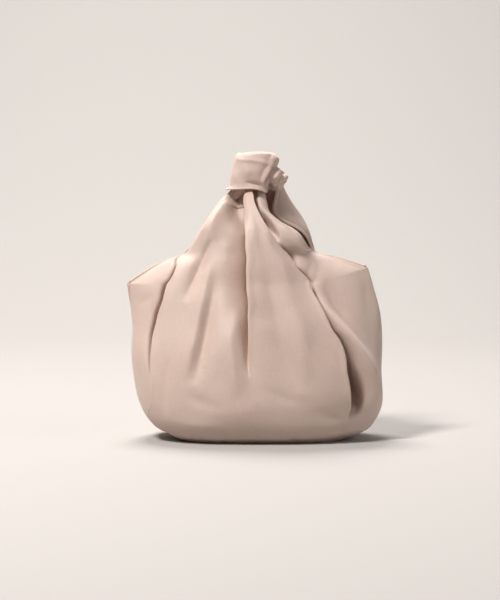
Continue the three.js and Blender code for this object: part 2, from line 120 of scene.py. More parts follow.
# %% [markdown]
# Smooth curves and soft noise. Hanging cloth has no corners, so each form below is a few
# values with a smooth curve through them. Blender's curve objects could hold them, but
# plain functions on arrays give a whole surface at once. The first kind of curve may
# swing past its values, as springy cloth does; the second never does.

# %% Curves through a few values
def mix(a, b, share):
    return a + (b - a) * share


def curve_between(start, end, slope_start, slope_end, span, t):
    """A smooth curve from start to end, at the share t of its span."""
    t2, t3 = t * t, t * t * t
    return ((2 * t3 - 3 * t2 + 1) * start + (t3 - 2 * t2 + t) * span * slope_start
            + (3 * t2 - 2 * t3) * end + (t3 - t2) * span * slope_end)


def hermite(stops, values, slopes, at):
    at = np.asarray(at, float)
    i = np.clip(np.searchsorted(stops, at, side="right") - 1, 0, len(stops) - 2)
    span = stops[i + 1] - stops[i]
    t = np.clip((at - stops[i]) / span, 0, 1)
    return curve_between(values[i], values[i + 1], slopes[i], slopes[i + 1], span, t)


def smooth(stops, values, at, rest=None):
    """A smooth curve through values; its slope is 0 at the stop number rest."""
    stops, values = np.asarray(stops, float), np.asarray(values, float)
    before = np.maximum(np.arange(len(stops)) - 1, 0)
    after = np.minimum(np.arange(len(stops)) + 1, len(stops) - 1)
    slopes = (values[after] - values[before]) / (stops[after] - stops[before])
    if rest is not None:
        slopes[rest] = 0
    return hermite(stops, values, slopes, at)


def steady(stops, values, at):
    """A smooth curve that never swings past its values."""
    stops, values = np.asarray(stops, float), np.asarray(values, float)
    secants = np.diff(values) / np.diff(stops)
    slopes = np.zeros(len(stops))
    slopes[0], slopes[-1] = secants[0], secants[-1]
    both = secants[:-1] * secants[1:] > 0
    harmonic = 2 * secants[:-1] * secants[1:] / np.where(both, secants[:-1] + secants[1:], 1)
    slopes[1:-1] = np.where(both, harmonic, 0)
    return hermite(stops, values, slopes, at)


print("three quarters along 0, 1, 1:", smooth([0, 1, 2], [0, 1, 1], 1.5), "smooth,",
      steady([0, 1, 2], [0, 1, 1], 1.5), "steady")

# %% Soft noise
def soft_noise(a, b, seed):
    """Smooth noise between -1 and 1 on two coordinates, with features about 1 across."""
    size = 64
    table = np.random.default_rng(seed).uniform(-1, 1, (size, size))
    ai, bi = np.floor(a).astype(int), np.floor(b).astype(int)
    fa, fb = a - ai, b - bi
    fa, fb = fa * fa * (3 - 2 * fa), fb * fb * (3 - 2 * fb)
    corner = lambda i, j: table[(ai + i) % size, (bi + j) % size]
    low = corner(0, 0) * (1 - fa) + corner(1, 0) * fa
    high = corner(0, 1) * (1 - fa) + corner(1, 1) * fa
    return low * (1 - fb) + high * fb


print("noise along a line", soft_noise(np.linspace(0, 2, 5), np.zeros(5), 1).round(2))

# %% [markdown]
# The plain shape. Under its folds each side of the bag is one panel of cloth, which rises
# from the base, widens to the side corners and narrows to its ear. It could be sculpted,
# or sewn together from flat cuts. Here it is a stack of arcs at a few heights, the same
# as in the packed model, so that the two agree and nothing has to be fitted.

# %% Kinds of sections
def section(at, heights, reach, depth, y=0, turn=(90, 90), side=1, face=1, flat=0, **more):
    """Heights of the middle and of the left and right edges; reach and turn to the left and right."""
    mid, left, right = heights
    return dict(
        at=at, mid=mid, left=left, right=right, reach_left=reach[0], reach_right=reach[1], y=y,
        depth=depth, turn_left=turn[0], turn_right=turn[1], side=side, face=face, flat=flat, **more)


def up_pouch(share):
    return mix(BASE_LEFT, POUCH_LEFT, share), mix(BASE_RIGHT, POUCH_RIGHT, share)


def face_depth(share):
    return mix(BASE_DEPTH, POUCH_DEPTH, share) / 2


def wing(at, middle, share, depth, **more):
    """A section between the belly and the side corners."""
    left, right = (mix(BELLY_HEIGHT, corner["height"], share) for corner in (LEFT_CORNER, RIGHT_CORNER))
    reach = (mix(POUCH_LEFT, LEFT_CORNER["reach"], share ** 5),
             mix(POUCH_RIGHT, RIGHT_CORNER["reach"], share ** 3))
    return section(at, (middle, left, right), reach, depth, **more)


def ear(at, shares, *rest, **more):
    """A section of an ear; its heights are shares of the way from the shoulders to the knot."""
    return section(at, [mix(SHOULDER_HEIGHT, KNOT_FOOT, share) for share in shares], *rest, **more)


def neck(at, height, size, turn):
    x = size["x"] + size["lean"] * KNOT_LEAN * height / KNOT_HEIGHT
    reach = (size["width"] / 2 - x, size["width"] / 2 + x)
    return section(at, [KNOT_FOOT + height] * 3, reach, size["depth"] / 2, size["y"], turn)


print("the belly is", 2 * face_depth(1), "mm deep, and the base", 2 * face_depth(0), "mm")

# %% Sections of both panels
pouch = [
    section(0, (0, 0, 0), up_pouch(0), face_depth(0), side=0.66, face=0.66),
    section(0.1, (FOOT_HEIGHT - 2, FOOT_HEIGHT + 2, FOOT_HEIGHT), up_pouch(0.55), face_depth(0.62),
            side=0.74, face=0.74),
    section(0.21, (FOOT_HEIGHT + 20, FOOT_HEIGHT + 25, FOOT_HEIGHT + 23), up_pouch(0.87),
            face_depth(0.95), side=0.82, face=0.85),
    wing(0.33, BELLY_HEIGHT, 0, face_depth(1), side=0.88),
    wing(0.44, BELLY_HEIGHT + 38, 0.5, face_depth(1) - 5, side=0.95, face=1.5, flat=0.45),
    wing(CORNER_AT, BELLY_HEIGHT + 72, 1, face_depth(1) - 14, face=2.4, flat=1, corner=True),
]

FRONT = dict(facing=-1, sections=pouch + [
    ear(0.605, (-0.22, -0.2, -0.1), (91, 76), 43, y=-7, face=2.2, flat=0.4),
    ear(0.66, (0, -0.02, -0.01), (66, 54), 32, y=-15, turn=(90, 88), face=2),
    ear(0.78, (0.42, 0.36, 0.22), (49, 46), 22, y=-17, turn=(112, 62), face=0.8, face_left=0.5),
    ear(0.89, (0.8, 0.76, 0.5), (33, 17), 15, y=-12, turn=(125, 72), face=0.8, face_left=0.55),
    neck(0.95, -1, FRONT_NECK, (142, 98)),
    neck(1, NECK_LENGTH, FRONT_NECK, (142, 112)),
])
BACK = dict(facing=1, sections=pouch + [
    ear(0.605, (-0.24, -0.3, -0.17), (88, 78), 43, y=6, face=2.2, flat=0.4),
    ear(0.66, (0, -0.14, -0.12), (57, 61), 32, y=14, face=1.7),
    ear(0.78, (0.42, 0.3, 0.3), (35, 49.5), 24, y=18, turn=(102, 116)),
    ear(0.89, (0.8, 0.72, 0.62), (11, 33.5), 15, y=17, turn=(108, 161)),
    neck(0.95, -1, BACK_NECK, (112, 146)),
    neck(1, NECK_LENGTH, BACK_NECK, (114, 136)),
])

print("sections", len(FRONT["sections"]), "in front and", len(BACK["sections"]), "behind")

# %% Points on a plain panel
def plain_point(panel, u, v):
    """A point of a plain face: u is -1 at its left edge and 1 at its right one, v is 0 at its
    lower edge and 1 at its upper one."""
    if "surface" in panel:
        return panel["surface"](u, v)
    sections = panel["sections"]
    stops = [section["at"] for section in sections]
    corner = [bool(section.get("corner")) for section in sections].index(True)
    value = lambda key, rests=False: smooth(
        stops, [section[key] for section in sections], v, corner if rests else None)
    power = lambda number, exponent: np.sign(number) * np.abs(number) ** exponent
    turn_to = np.where(u < 0, value("turn_left", True), value("turn_right", True))
    turn = np.radians(u * turn_to)
    left, right = value("reach_left", True), value("reach_right", True)
    flatness = smooth(stops, [section.get("face_left", section["face"]) for section in sections], v)
    face = power(np.cos(turn), np.where(u < 0, flatness, value("face")))
    x = (right - left) / 2 + (right + left) / 2 * power(np.sin(turn), value("side"))
    curl = np.clip((turn_to - 90) / 30, 0, 1)
    outward = mix(np.abs(np.sin(turn)), np.abs(u), curl)
    edge = np.where(u < 0, value("left", True), value("right", True))
    z = mix(value("mid"), edge, outward ** 2.5)
    layers = SEAM_GAP / 2 + value("flat", True) * SEAM_FOLD
    y = value("y", True) + panel["facing"] * (value("depth") * face + layers)
    return np.stack([x, y, np.maximum(z, 0)], axis=-1)


def unit(vectors):
    return vectors / np.maximum(np.linalg.norm(vectors, axis=-1, keepdims=True), 1e-9)


def plain_normal(panel, u, v):
    step = 0.004
    left, right = np.maximum(u - step, -1), np.minimum(u + step, 1)
    below, above = np.maximum(v - step, 0), np.minimum(v + step, 1)
    across = plain_point(panel, right, v) - plain_point(panel, left, v)
    up = plain_point(panel, u, above) - plain_point(panel, u, below)
    return unit(np.cross(across, up) * -panel["facing"])


print("front of the belly", plain_point(FRONT, np.array(0.0), np.array(0.33)).round(1), "mm")

# %% Places off the plain face
POCKET_LEAN = np.array([0.35, 1.0, 0.6])


def turned(panel, u, v):
    """How far round from the middle of its face a place lies, in degrees."""
    if "surface" in panel:
        return np.abs(u) * 180
    stops = [section["at"] for section in panel["sections"]]
    left = smooth(stops, [section["turn_left"] for section in panel["sections"]], v)
    right = smooth(stops, [section["turn_right"] for section in panel["sections"]], v)
    return np.abs(u) * np.where(u < 0, left, right)


def off_face(panel, u, v, off):
    """Points at a height off the plain face. A pocket goes in more nearly straight back."""
    normal = plain_normal(panel, u, v)
    inward = unit(normal * POCKET_LEAN)
    height = np.asarray(off)[..., None]
    return plain_point(panel, u, v) + np.where(height < 0, inward, normal) * height


print("5 mm into the belly", off_face(FRONT, np.array(0.0), np.array(0.33), -5.0).round(1), "mm")

# %% Finding the place that a pixel shows
class Finder:
    """Finds which place on a panel is seen at a picture's pixel, or lies at an x and z."""

    def __init__(self, panel, project):
        self.panel, self.project = panel, project
        u, v = np.meshgrid(np.linspace(-0.999, 0.999, 501), np.linspace(0.0, 1.0, 501))
        seen = turned(panel, u, v) < 89.5
        self.u, self.v = u[seen], v[seen]
        self.places = project(plain_point(panel, self.u, self.v))

    def __call__(self, a, b):
        nearest = np.argmin(((self.places - [a, b]) ** 2).sum(axis=1))
        u, v = self.u[nearest], self.v[nearest]
        for _ in range(4):
            step = 1e-3
            grid_u = np.array([u, u + step, u])
            grid_v = np.array([v, v, v + step])
            here, in_u, in_v = self.project(plain_point(self.panel, grid_u, grid_v))
            slopes = np.stack([(in_u - here) / step, (in_v - here) / step], axis=1)
            if abs(np.linalg.det(slopes)) < 1e-3:
                break
            move = np.linalg.solve(slopes, np.array([a, b]) - here)
            u = float(np.clip(u + np.clip(move[0], -0.01, 0.01), -0.999, 0.999))
            v = float(np.clip(v + np.clip(move[1], -0.01, 0.01), 0.002, 0.999))
        return u, v


front_finder = Finder(FRONT, to_picture)
back_finder = Finder(BACK, lambda points: points[..., [0, 2]])

print("the picture's middle shows the front at", front_finder(FRAME_WIDTH / 2, FRAME_HEIGHT / 2))

# %% [markdown]
# The folds in front. Satin gathered into a knot falls in pleats, where one layer lies
# over the next, and in softer valleys and ridges between them. A cloth simulation would
# give folds of its own choosing, so each one here is written down along its line. A
# pleat's stops give its place, how deep the pocket behind it is, how far the layers
# overlap, how proud its lip stands and how wide the pocket opens. A stroke is a soft
# valley or ridge, and its stops give its place, its breadth and its height.

# %% Pleats in front, in the picture's pixels
FRONT_PLEATS = [
    dict(name="left", side=1, top=-0.86, foot=-0.66, stops=[
        (184, 255, 1, 1, 1, 2), (178, 267, 7, 2.5, 1.5, 2.4), (171.5, 281, 13, 4, 2, 3),
        (165, 298, 16, 5, 2, 3.2), (158.5, 317, 16, 4, 2, 3.2), (153.5, 340, 12, 3, 2, 2.8),
        (152, 362, 6, 2, 2.2, 2.4), (153, 383, 2, 0, 3, 3), (152, 400, 1, 0, 3, 5),
        (151, 420, 0, 0, 1, 5)]),
    dict(name="centre", slope=0.38, wall=5.0, side=1, top=-0.12, foot=-0.06, stops=[
        (243.6, 184, 9, 4, 1.5, 10), (244, 193, 14, 5, 2, 12), (244.2, 205, 20, 6, 3.5, 15),
        (245, 222, 29, 6, 4.5, 16), (246.3, 245, 37, 7, 5.5, 16), (247.3, 264, 39, 7, 6, 16),
        (248.2, 298, 33, 6, 5, 15), (248.4, 322, 20, 2.5, 2, 10), (248.3, 340, 13, 1.5, 1.5, 7),
        (248.3, 358, 6, 0.5, 0.6, 5.5), (250, 382, 0, 0, 0, 5)]),
    dict(name="right", rim=5, side=-1, top=0.14, foot=0.42, stops=[
        (252, 190, 8, 2, 1, 3), (253.2, 197, 13, 3.5, 2, 3.8), (254.8, 205, 17, 4, 2.5, 4.6),
        (258.5, 213.5, 20, 4.5, 3, 5.6), (263, 222, 20, 4.5, 3, 6), (268.5, 231, 15, 4, 2.5, 5.5),
        (277, 243, 2.5, 2, 1.5, 3), (286, 255, 6, 3, 3, 3.2), (298, 272.5, 7, 3, 4, 3),
        (310, 291, 9, 3, 4, 3), (320, 311, 9, 3, 4, 3.2), (329.5, 330, 12, 4, 4, 4),
        (337, 341, 17, 5, 4, 5), (341.5, 351, 24, 5, 4, 7), (344, 361, 35, 7, 4, 9.5),
        (345, 371, 42, 8, 4, 12), (347, 381, 46, 8, 4, 14.5), (348.5, 391, 46, 7, 4, 16),
        (349.5, 401, 32, 4, 3, 15), (350, 410, 12, 1.5, 1, 11), (347, 420, 0, 0, 0, 7)]),
]

print("pleats in front", [pleat["name"] for pleat in FRONT_PLEATS])

# %% Soft folds in front, in the picture's pixels
FRONT_STROKES = [
    # Left wing and the ridges and valleys between the left pleat and the centre.
    [(151, 292, 3, 0), (146, 300, 4, -1.2), (139, 308, 3, 0)],
    [(137, 300, 9, 0), (135, 340, 10, 1.5), (135, 385, 9, 0)],
    [(188, 254, 6, 0), (184, 264, 7, 1.5), (178, 283, 8, 2.5), (171, 306, 8, 2.5),
     (164, 340, 7, 1.2), (160, 360, 8, 0)],
    [(176, 338, 6, 0), (170, 358, 6, -1.2), (165, 382, 6, -2), (164, 403, 6, -1.6), (166, 420, 5, 0)],
    [(212, 238, 4, 0), (206, 250, 4.5, -3.5), (199, 264, 5, -6.5), (192, 282, 5, -5.5),
     (184, 302, 5, 0)],
    [(209, 262, 4, 0), (206.5, 284, 4.5, 1.5), (201, 310, 4.5, 3), (196.5, 334, 4.5, 3.2),
     (191, 356, 5, 2.5), (187, 380, 6, 0)],
    [(217, 258, 6, 0), (214.5, 282, 7, -2), (210.5, 304, 7.5, -5), (206.5, 326, 8, -7),
     (203, 345, 8, -6.5), (198, 366, 8, -4.5), (195, 386, 8, 0)],
    [(236, 304, 5, 0), (235, 320, 7, 2.5), (232, 338, 8, 3.5), (233, 355, 8, 3), (236, 378, 8, 2),
     (238, 398, 9, 0)],
    [(244, 318, 4, 0), (246, 340, 5, -2), (249, 360, 6, -3), (252, 380, 8, -1.5), (256, 400, 8, 0)],
    [(262, 330, 10, 0), (280, 350, 13, -2.5), (292, 372, 12, -2.5), (300, 395, 10, 0)],
    # The recess at the left under the knot, and the slope that runs into the crease.
    [(236.5, 182, 8, -7), (236.5, 192, 8, -8), (237.5, 201, 9, -9), (239.5, 210, 8, -8),
     (241.5, 220, 7, -5), (243, 232, 5, 0)],
    [(236, 176, 8, -3), (236, 190, 9, -3), (234, 201, 11, -6), (231, 213, 13, -8),
     (228, 228, 12, -5), (225, 246, 10, 0)],
    # The central fold: its crest, and a soft ridge and a faint streak down its right half.
    [(248, 192, 5, 1), (251, 220, 7, 1.5), (256, 250, 10, 1.5), (262, 280, 12, 1.5), (266, 320, 14, 0)],
    [(256, 214, 4, 0), (264, 234, 7, 2), (273, 252, 9, 3), (282, 270, 9, 3), (288, 288, 9, 1.5),
     (292, 306, 9, 0)],
    [(278, 224, 5, 0), (289, 236, 7, 3), (297, 245, 8, 7), (304, 252, 8, 6), (311, 260, 6, 2),
     (316, 270, 5, 0)],
    [(262, 262, 7, 0), (270, 300, 6, -1.3), (278, 325, 6, -1.3), (282, 352, 7, 0)],
    [(262, 262, 9, 0), (285, 297, 10, 3), (296, 318, 10, 3.6), (302, 339, 10, 3.4),
     (304, 364, 10, 2), (304, 385, 9, 0)],
    # The second fold on the right, its shadowed foot and the two small pleats beside it.
    [(285, 248, 4, 0), (292, 256, 4, -3), (299, 268, 4.5, 0)],
    [(311.4, 260, 2.2, 0), (309, 272, 2.4, -1.3), (305, 286, 2.6, 0)],
    [(318, 262, 3, 0), (315.5, 278, 3, -0.8), (309, 294, 3, 0)],
    # The roll beside the right pocket, with a valley past it, and the right wing's soft valley.
    [(312, 292, 5, 0), (323, 307, 6, 3.5), (342, 331, 7, 7), (359, 355, 7, 8), (370, 375, 6.5, 7),
     (374, 393, 6.5, 6), (374, 408, 6.5, 5.5), (369, 420, 7, 5), (357, 428, 7, 3.5), (342, 430, 8, 0)],
    [(322, 284, 5, 0), (336, 306, 7, -5), (352, 327, 8, -5), (367, 346, 7, -3), (376, 362, 6, 0)],
    [(362, 280, 8, 0), (366, 298, 9, -1.4), (370, 328, 8, -1.4), (373, 352, 7, 0)],
    # Near the base.
    [(160, 427, 2.5, 0), (168, 434, 2.5, -1.8), (178, 440, 2.5, 0)],
    [(288, 436, 3, 0), (295, 440, 3, -1.6), (303, 443, 3, 0)],
    [(200, 400, 16, 0), (235, 412, 18, 2), (280, 408, 16, 0)],
    [(183, 392, 5, 0), (205, 404, 6, -1.2), (232, 409, 6, 0)],
    [(258, 384, 6, 0), (284, 398, 7, -1.3), (312, 404, 6, 0)],
    [(312, 410, 4, 0), (330, 418, 5, -1.2), (348, 420, 4, 0)],
    [(166, 418, 5, 0), (196, 425, 6, 1.2), (228, 424, 6, 0)],
]

print("soft folds in front", len(FRONT_STROKES))

# %% [markdown]
# The folds behind. The back isn't in the photograph. It could be left smooth, but real
# cloth gathers on both sides of a knot, so it is gathered towards the neck of the back
# ear, in folds of the same kinds, with places that are x and z in millimetres.

# %% Folds behind, in millimetres
BACK_PLEATS = [
    dict(name="far left", side=-1, top=-0.7, foot=-0.6, stops=[
        (-44, 184, 3, 2, 1, 4), (-62, 160, 8, 5, 1.5, 5.8), (-76, 130, 11, 6, 2, 6.8),
        (-84, 100, 10, 5, 2, 6.5), (-88, 70, 5, 2, 1.5, 4.8), (-88, 44, 0, 0, 0.5, 3)]),
    dict(name="middle", side=-1, top=-0.15, foot=0.02, stops=[
        (15, 232, 4, 1.5, 2, 4.4), (10, 205, 8, 4, 4, 5.8), (4, 170, 9, 4, 4, 6.2),
        (0, 130, 8, 4, 3, 5.8), (-2, 100, 4, 1, 2, 4.4), (-3, 74, 0, 0, 0, 3)]),
    dict(name="far right", side=1, top=0.4, foot=0.6, stops=[
        (24, 228, 3, 1, 1, 4), (35, 200, 7, 3, 1.5, 5.4), (50, 170, 9, 4, 2, 6.2),
        (68, 135, 11, 5, 2, 6.8), (82, 100, 12, 5, 2, 7.5), (92, 68, 9, 4, 2, 7.2),
        (96, 42, 0, 0, 0.5, 3)]),
]
BACK_STROKES = [
    [(-12, 200, 7, 0), (-28, 170, 9, -3.5), (-42, 135, 10, -4), (-50, 100, 10, 0)],
    [(-2, 205, 7, 0), (-12, 170, 9, 3), (-22, 130, 11, 3.5), (-28, 85, 12, 0)],
    [(22, 210, 6, 0), (26, 175, 9, 3.5), (30, 135, 12, 4), (33, 90, 12, 0)],
    [(28, 205, 5, 0), (40, 165, 7, -3), (50, 130, 8, -3.5), (56, 95, 8, 0)],
    [(-70, 130, 8, 0), (-66, 100, 10, 3), (-64, 65, 11, 0)],
    [(98, 120, 8, 0), (106, 90, 8, 3.5), (108, 62, 8, 4), (102, 40, 7, 0)],
    [(-96, 140, 8, 0), (-102, 110, 9, -2), (-104, 80, 8, 0)],
    [(10, 150, 6, 0), (14, 120, 7, -2.5), (12, 90, 7, 0)],
    [(-40, 30, 6, 0), (0, 22, 7, -1.2), (40, 28, 6, 0)],
]

print("behind", len(BACK_PLEATS), "pleats and", len(BACK_STROKES), "soft folds")

# %% [markdown]
# From folds to cloth. A real pleat is one layer truly lying on another, which a height
# over a flat grid can't show, and sculpting can't be repeated from a script. So every row
# of a panel is a curve through the lines of its pleats, and it may double back.

# %% The lines of a pleat
PANEL_ROWS = 170

# How many columns of points lie between each of a pleat's lines and the next.
COLUMNS_PLEAT = (9, 11, 9, 11, 12)
LINES_PLEAT = len(COLUMNS_PLEAT) + 1
LIP_ROUND = 1.0


def pleat_lines(panel, finder, pleat, v):
    """A pleat's six lines at rows v: each is (u, how far off the plain face)."""
    found = [(*finder(stop[0], stop[1]), *stop[2:]) for stop in pleat["stops"]]
    found.sort(key=lambda stop: stop[1])
    first, last = found[0], found[-1]
    near_foot = (mix(first[0], pleat["foot"], 0.5), first[1] * 0.5, 0, 0, 0, first[5])
    ends = [(pleat["foot"], 0.0, 0, 0, 0, first[5]), near_foot]
    stops = ends + found + [(pleat["top"], 1.0, last[2] * 0.6, last[3] * 0.5, last[4] * 0.6, last[5])]
    at = [stop[1] for stop in stops]
    u, depth, over, lip, wide = (steady(at, [stop[k] for stop in stops], v) for k in (0, 2, 3, 4, 5))
    step = 0.01
    apart = plain_point(panel, u + step, v) - plain_point(panel, u - step, v)
    spread = np.linalg.norm(apart, axis=-1) / (2 * step)
    side = pleat["side"]
    flat = LIP_ROUND * np.maximum(0, 1 - over / (2 * LIP_ROUND))
    wall = np.minimum(wide, pleat["wall"]) if "wall" in pleat else wide
    rim = wide + pleat["rim"] if "rim" in pleat else 2 * wide + 2
    places = [
        (u - side * rim / spread, -0.05 * depth),
        (u - side * wall / spread, -pleat.get("slope", 0.75) * depth),
        (u + side * (over - LIP_ROUND) / spread, -depth),
        (u + side * 0.55 * over / spread, -0.4 * depth),
        (u + side * flat / spread, lip),
        (u + side * (4.5 + 0.5 * over) / spread, 0.85 * lip),
    ]
    return places[::side]


print("a pleat has", LINES_PLEAT, "lines and", sum(COLUMNS_PLEAT), "columns of points")

# %% Where the lines of two pleats meet
CREST_REACH, CREST_GAP = 8, 0.8


def half_length(panel, v):
    """Half the way along each row of the plain face, in mm, as a column."""
    places = plain_point(panel, *np.meshgrid(np.linspace(-1, 1, 81), v))
    length = np.linalg.norm(np.diff(places, axis=1), axis=-1)
    return (length.sum(axis=1) / 2)[:, None]


def join_crests(u, off, metric):
    """Where two pleats come close, the outer lines of both run together in one crest."""
    for k in range(LINES_PLEAT, u.shape[1] - 2, LINES_PLEAT):
        middle = (u[:, k] + u[:, k + 1]) / 2
        apart = np.clip((u[:, k + 1] - u[:, k]) * metric / CREST_REACH, 0, 1)
        crest = (off[:, k] + off[:, k + 1]) / 2
        off[:, k] = mix(crest, off[:, k], apart)
        off[:, k + 1] = mix(crest, off[:, k + 1], apart)
        u[:, k] = np.minimum(u[:, k], middle - CREST_GAP / metric)
        u[:, k + 1] = np.maximum(u[:, k + 1], middle + CREST_GAP / metric)


print("half the way round the belly", half_length(FRONT, np.array([0.33])).round(1), "mm")

# %% A grid of points through the lines
def folded_grid(panel, finder, pleats, between, last_row):
    """u, v, height off the face and cloth coordinate of a grid that runs through pleats;
    between gives the columns before, between and after them."""
    v = np.linspace(0, 1, last_row + 1)
    lines = [(np.full_like(v, -1.0), np.zeros_like(v))]
    columns = []
    for pleat, count in zip(pleats, between):
        lines += pleat_lines(panel, finder, pleat, v)
        columns += [count, *COLUMNS_PLEAT[::pleat["side"]]]
    lines.append((np.full_like(v, 1.0), np.zeros_like(v)))
    columns.append(between[-1])
    u, off = (np.stack([line[k] for line in lines], axis=1) for k in (0, 1))
    metric = half_length(panel, v)
    join_crests(u, off, metric[:, 0])
    flat = np.stack([u * metric, off], axis=-1)
    knots = np.sqrt(np.maximum(np.linalg.norm(np.diff(flat, axis=1), axis=-1), 0.25))
    slopes = np.diff(flat, axis=1) / knots[..., None]
    tangents = np.zeros_like(flat)
    tangents[:, 0], tangents[:, -1] = slopes[:, 0], slopes[:, -1]
    before, after = knots[:, :-1, None], knots[:, 1:, None]
    tangents[:, 1:-1] = (after * slopes[:, :-1] + before * slopes[:, 1:]) / (before + after)
    pieces = []
    for k, count in enumerate(columns):
        t = np.linspace(0, 1, count, endpoint=False)[None, :, None]
        if k == len(columns) - 1:
            t = np.linspace(0, 1, count + 1)[None, :, None]
        pieces.append(curve_between(
            flat[:, k, None], flat[:, k + 1, None],
            tangents[:, k, None], tangents[:, k + 1, None], knots[:, k, None, None], t))
    grid = np.concatenate(pieces, axis=1)
    u = np.clip(grid[..., 0] / metric, -1, 1)
    u[:, 0], u[:, -1] = -1, 1
    run = np.linalg.norm(np.diff(grid, axis=1), axis=-1).mean(axis=0)
    cloth = np.concatenate([[0], np.cumsum(run)])
    return u, np.repeat(v[:, None], u.shape[1], axis=1), grid[..., 1], cloth


print("each row in front runs through", 2 + LINES_PLEAT * len(FRONT_PLEATS), "lines")

# %% [markdown]
# Soft folds. Between the pleats the satin only swells and sinks. That could be painted in
# Sculpt Mode, or drawn as an image and used for displacement. A stroke is the same idea
# in numbers: every point near its line is moved out or in, less and less with distance.

# %% The height that strokes add
def stroke_relief(points, stroke):
    """The height that one stroke adds at points given by x and z."""
    stroke = np.asarray(stroke, float)
    at = np.arange(len(stroke))
    fine = np.linspace(0, len(stroke) - 1, 10 * (len(stroke) - 1) + 1)
    x, z, breadth, height = (smooth(at, stroke[:, k], fine) for k in range(4))
    total, weight = np.zeros(points.shape[:-1]), np.zeros(points.shape[:-1])
    for k in range(len(fine) - 1):
        a, b = np.array([x[k], z[k]]), np.array([x[k + 1], z[k + 1]])
        t = np.clip(((points - a) @ (b - a)) / max((b - a) @ (b - a), 1e-9), 0, 1)
        gap = ((points - a - t[..., None] * (b - a)) ** 2).sum(axis=-1)
        falling = np.exp(-(gap / mix(breadth[k], breadth[k + 1], t) ** 2) ** 0.8)
        here = mix(height[k], height[k + 1], t) * falling
        share = 1 / (gap + 0.5) ** 4
        total += here * share
        weight += share
    return total / weight


def strokes_on(panel, finder, strokes):
    """Strokes placed by pixel or by x and z, as lists of x, z, breadth and height in mm."""
    placed = []
    for stroke in strokes:
        spots = [plain_point(panel, *map(np.array, finder(stop[0], stop[1]))) for stop in stroke]
        placed.append([(spot[0], spot[2], stop[2], stop[3]) for spot, stop in zip(spots, stroke)])
    return placed


def relief(panel, finder, strokes, plain):
    """The height that several strokes add at plain points of a face."""
    spots = plain[..., [0, 2]]
    return sum(stroke_relief(spots, stroke) for stroke in strokes_on(panel, finder, strokes))


def facing_share(panel, u, v):
    """1 where a face is turned to the viewer, falling to 0 just past its sides."""
    return np.clip((92 - turned(panel, u, v)) / 12, 0, 1)


ridge = [(0, 0, 5, 2), (0, 40, 5, 2)]
print("a 2 mm ridge is", stroke_relief(np.array([5.0, 20.0]), ridge).round(2),
      "mm high 5 mm beside its line")

# %% All of a panel's folds together
CLOTH_LENGTH, CLOTH_HALF_WIDTH = 250, 120


def folded_points(panel, finder, pleats, strokes, between, seed):
    """The panel's outer face as a grid of points, with its cloth coordinate."""
    u, v, off, cloth = folded_grid(panel, finder, pleats, between, PANEL_ROWS)
    softly = relief(panel, finder, strokes, plain_point(panel, u, v)) * facing_share(panel, u, v)
    # Soft tension lines that run towards the knot, and a faint unevenness all over.
    along, across = CLOTH_LENGTH * v, u * CLOTH_HALF_WIDTH
    gathered = np.clip((v - 0.25) / 0.45, 0, 1)
    lines = soft_noise(across / 15, along / 95, seed) * mix(0.5, 0.7, gathered)
    lines += soft_noise(across / 11 + 9, along / 60, seed + 1) * 0.25 * gathered
    lines += soft_noise(across / 22, along / 28, seed + 2) * 0.45
    # Both fade out at the mouth's edges, at the foot and in the neck.
    edge = np.clip((1 - np.abs(u)) / 0.05, 0, 1)
    foot = np.clip(v / 0.06, 0, 1)
    shrink = np.clip((0.985 - v) / 0.06, 0.15, 1)
    off = (off + softly * np.where(softly > 0, shrink, 1) + lines * shrink) * edge * foot
    return off_face(panel, u, v, off), u, v, off, cloth


print("cloth about", CLOTH_LENGTH, "mm long and", 2 * CLOTH_HALF_WIDTH, "mm wide")

# %% [markdown]
# Meshes. A sheet of cloth is a grid of points with a face between each four, and it needs
# a map in metres, so that its weave keeps one size. Blender could unwrap the finished
# mesh, but the grid's own rows and columns already are that map. A Solidify modifier then
# gives the cloth its thickness, inwards from the face that is seen.

# %% From points to an object
def grid_faces(rows, columns, flip, closed=False):
    i, j = np.meshgrid(np.arange(columns if closed else columns - 1), np.arange(rows - 1))
    right = (i + 1) % columns
    low, high = j * columns, (j + 1) * columns
    quads = np.stack([low + i, low + right, high + right, high + i], -1).reshape(-1, 4)
    return quads[:, ::-1] if flip else quads


def mesh_object(name, points, faces, uv=None):
    """An object at the origin from points, and a cloth map, in mm."""
    mesh = bpy.data.meshes.new(name)
    faces = faces.tolist() if isinstance(faces, np.ndarray) else faces
    mesh.from_pydata((np.asarray(points).reshape(-1, 3) * MM).tolist(), [], faces)
    if uv is not None:
        layer = mesh.uv_layers.new(name="cloth")
        corners = np.empty(len(mesh.loops), dtype=np.int32)
        mesh.loops.foreach_get("vertex_index", corners)
        layer.data.foreach_set("uv", (np.asarray(uv).reshape(-1, 2)[corners] * MM).ravel())
    mesh.polygons.foreach_set("use_smooth", [True] * len(mesh.polygons))
    mesh.update()
    piece = bpy.data.objects.new(name, mesh)
    bpy.context.scene.collection.objects.link(piece)
    return piece


def thicken(piece, thickness):
    """Gives a sheet its thickness in mm, inwards from its face."""
    solid = piece.modifiers.new("thickness", "SOLIDIFY")
    solid.thickness = thickness * MM
    solid.offset = -1
    return piece


print("a 3 by 3 grid has the faces", grid_faces(3, 3, False).tolist())

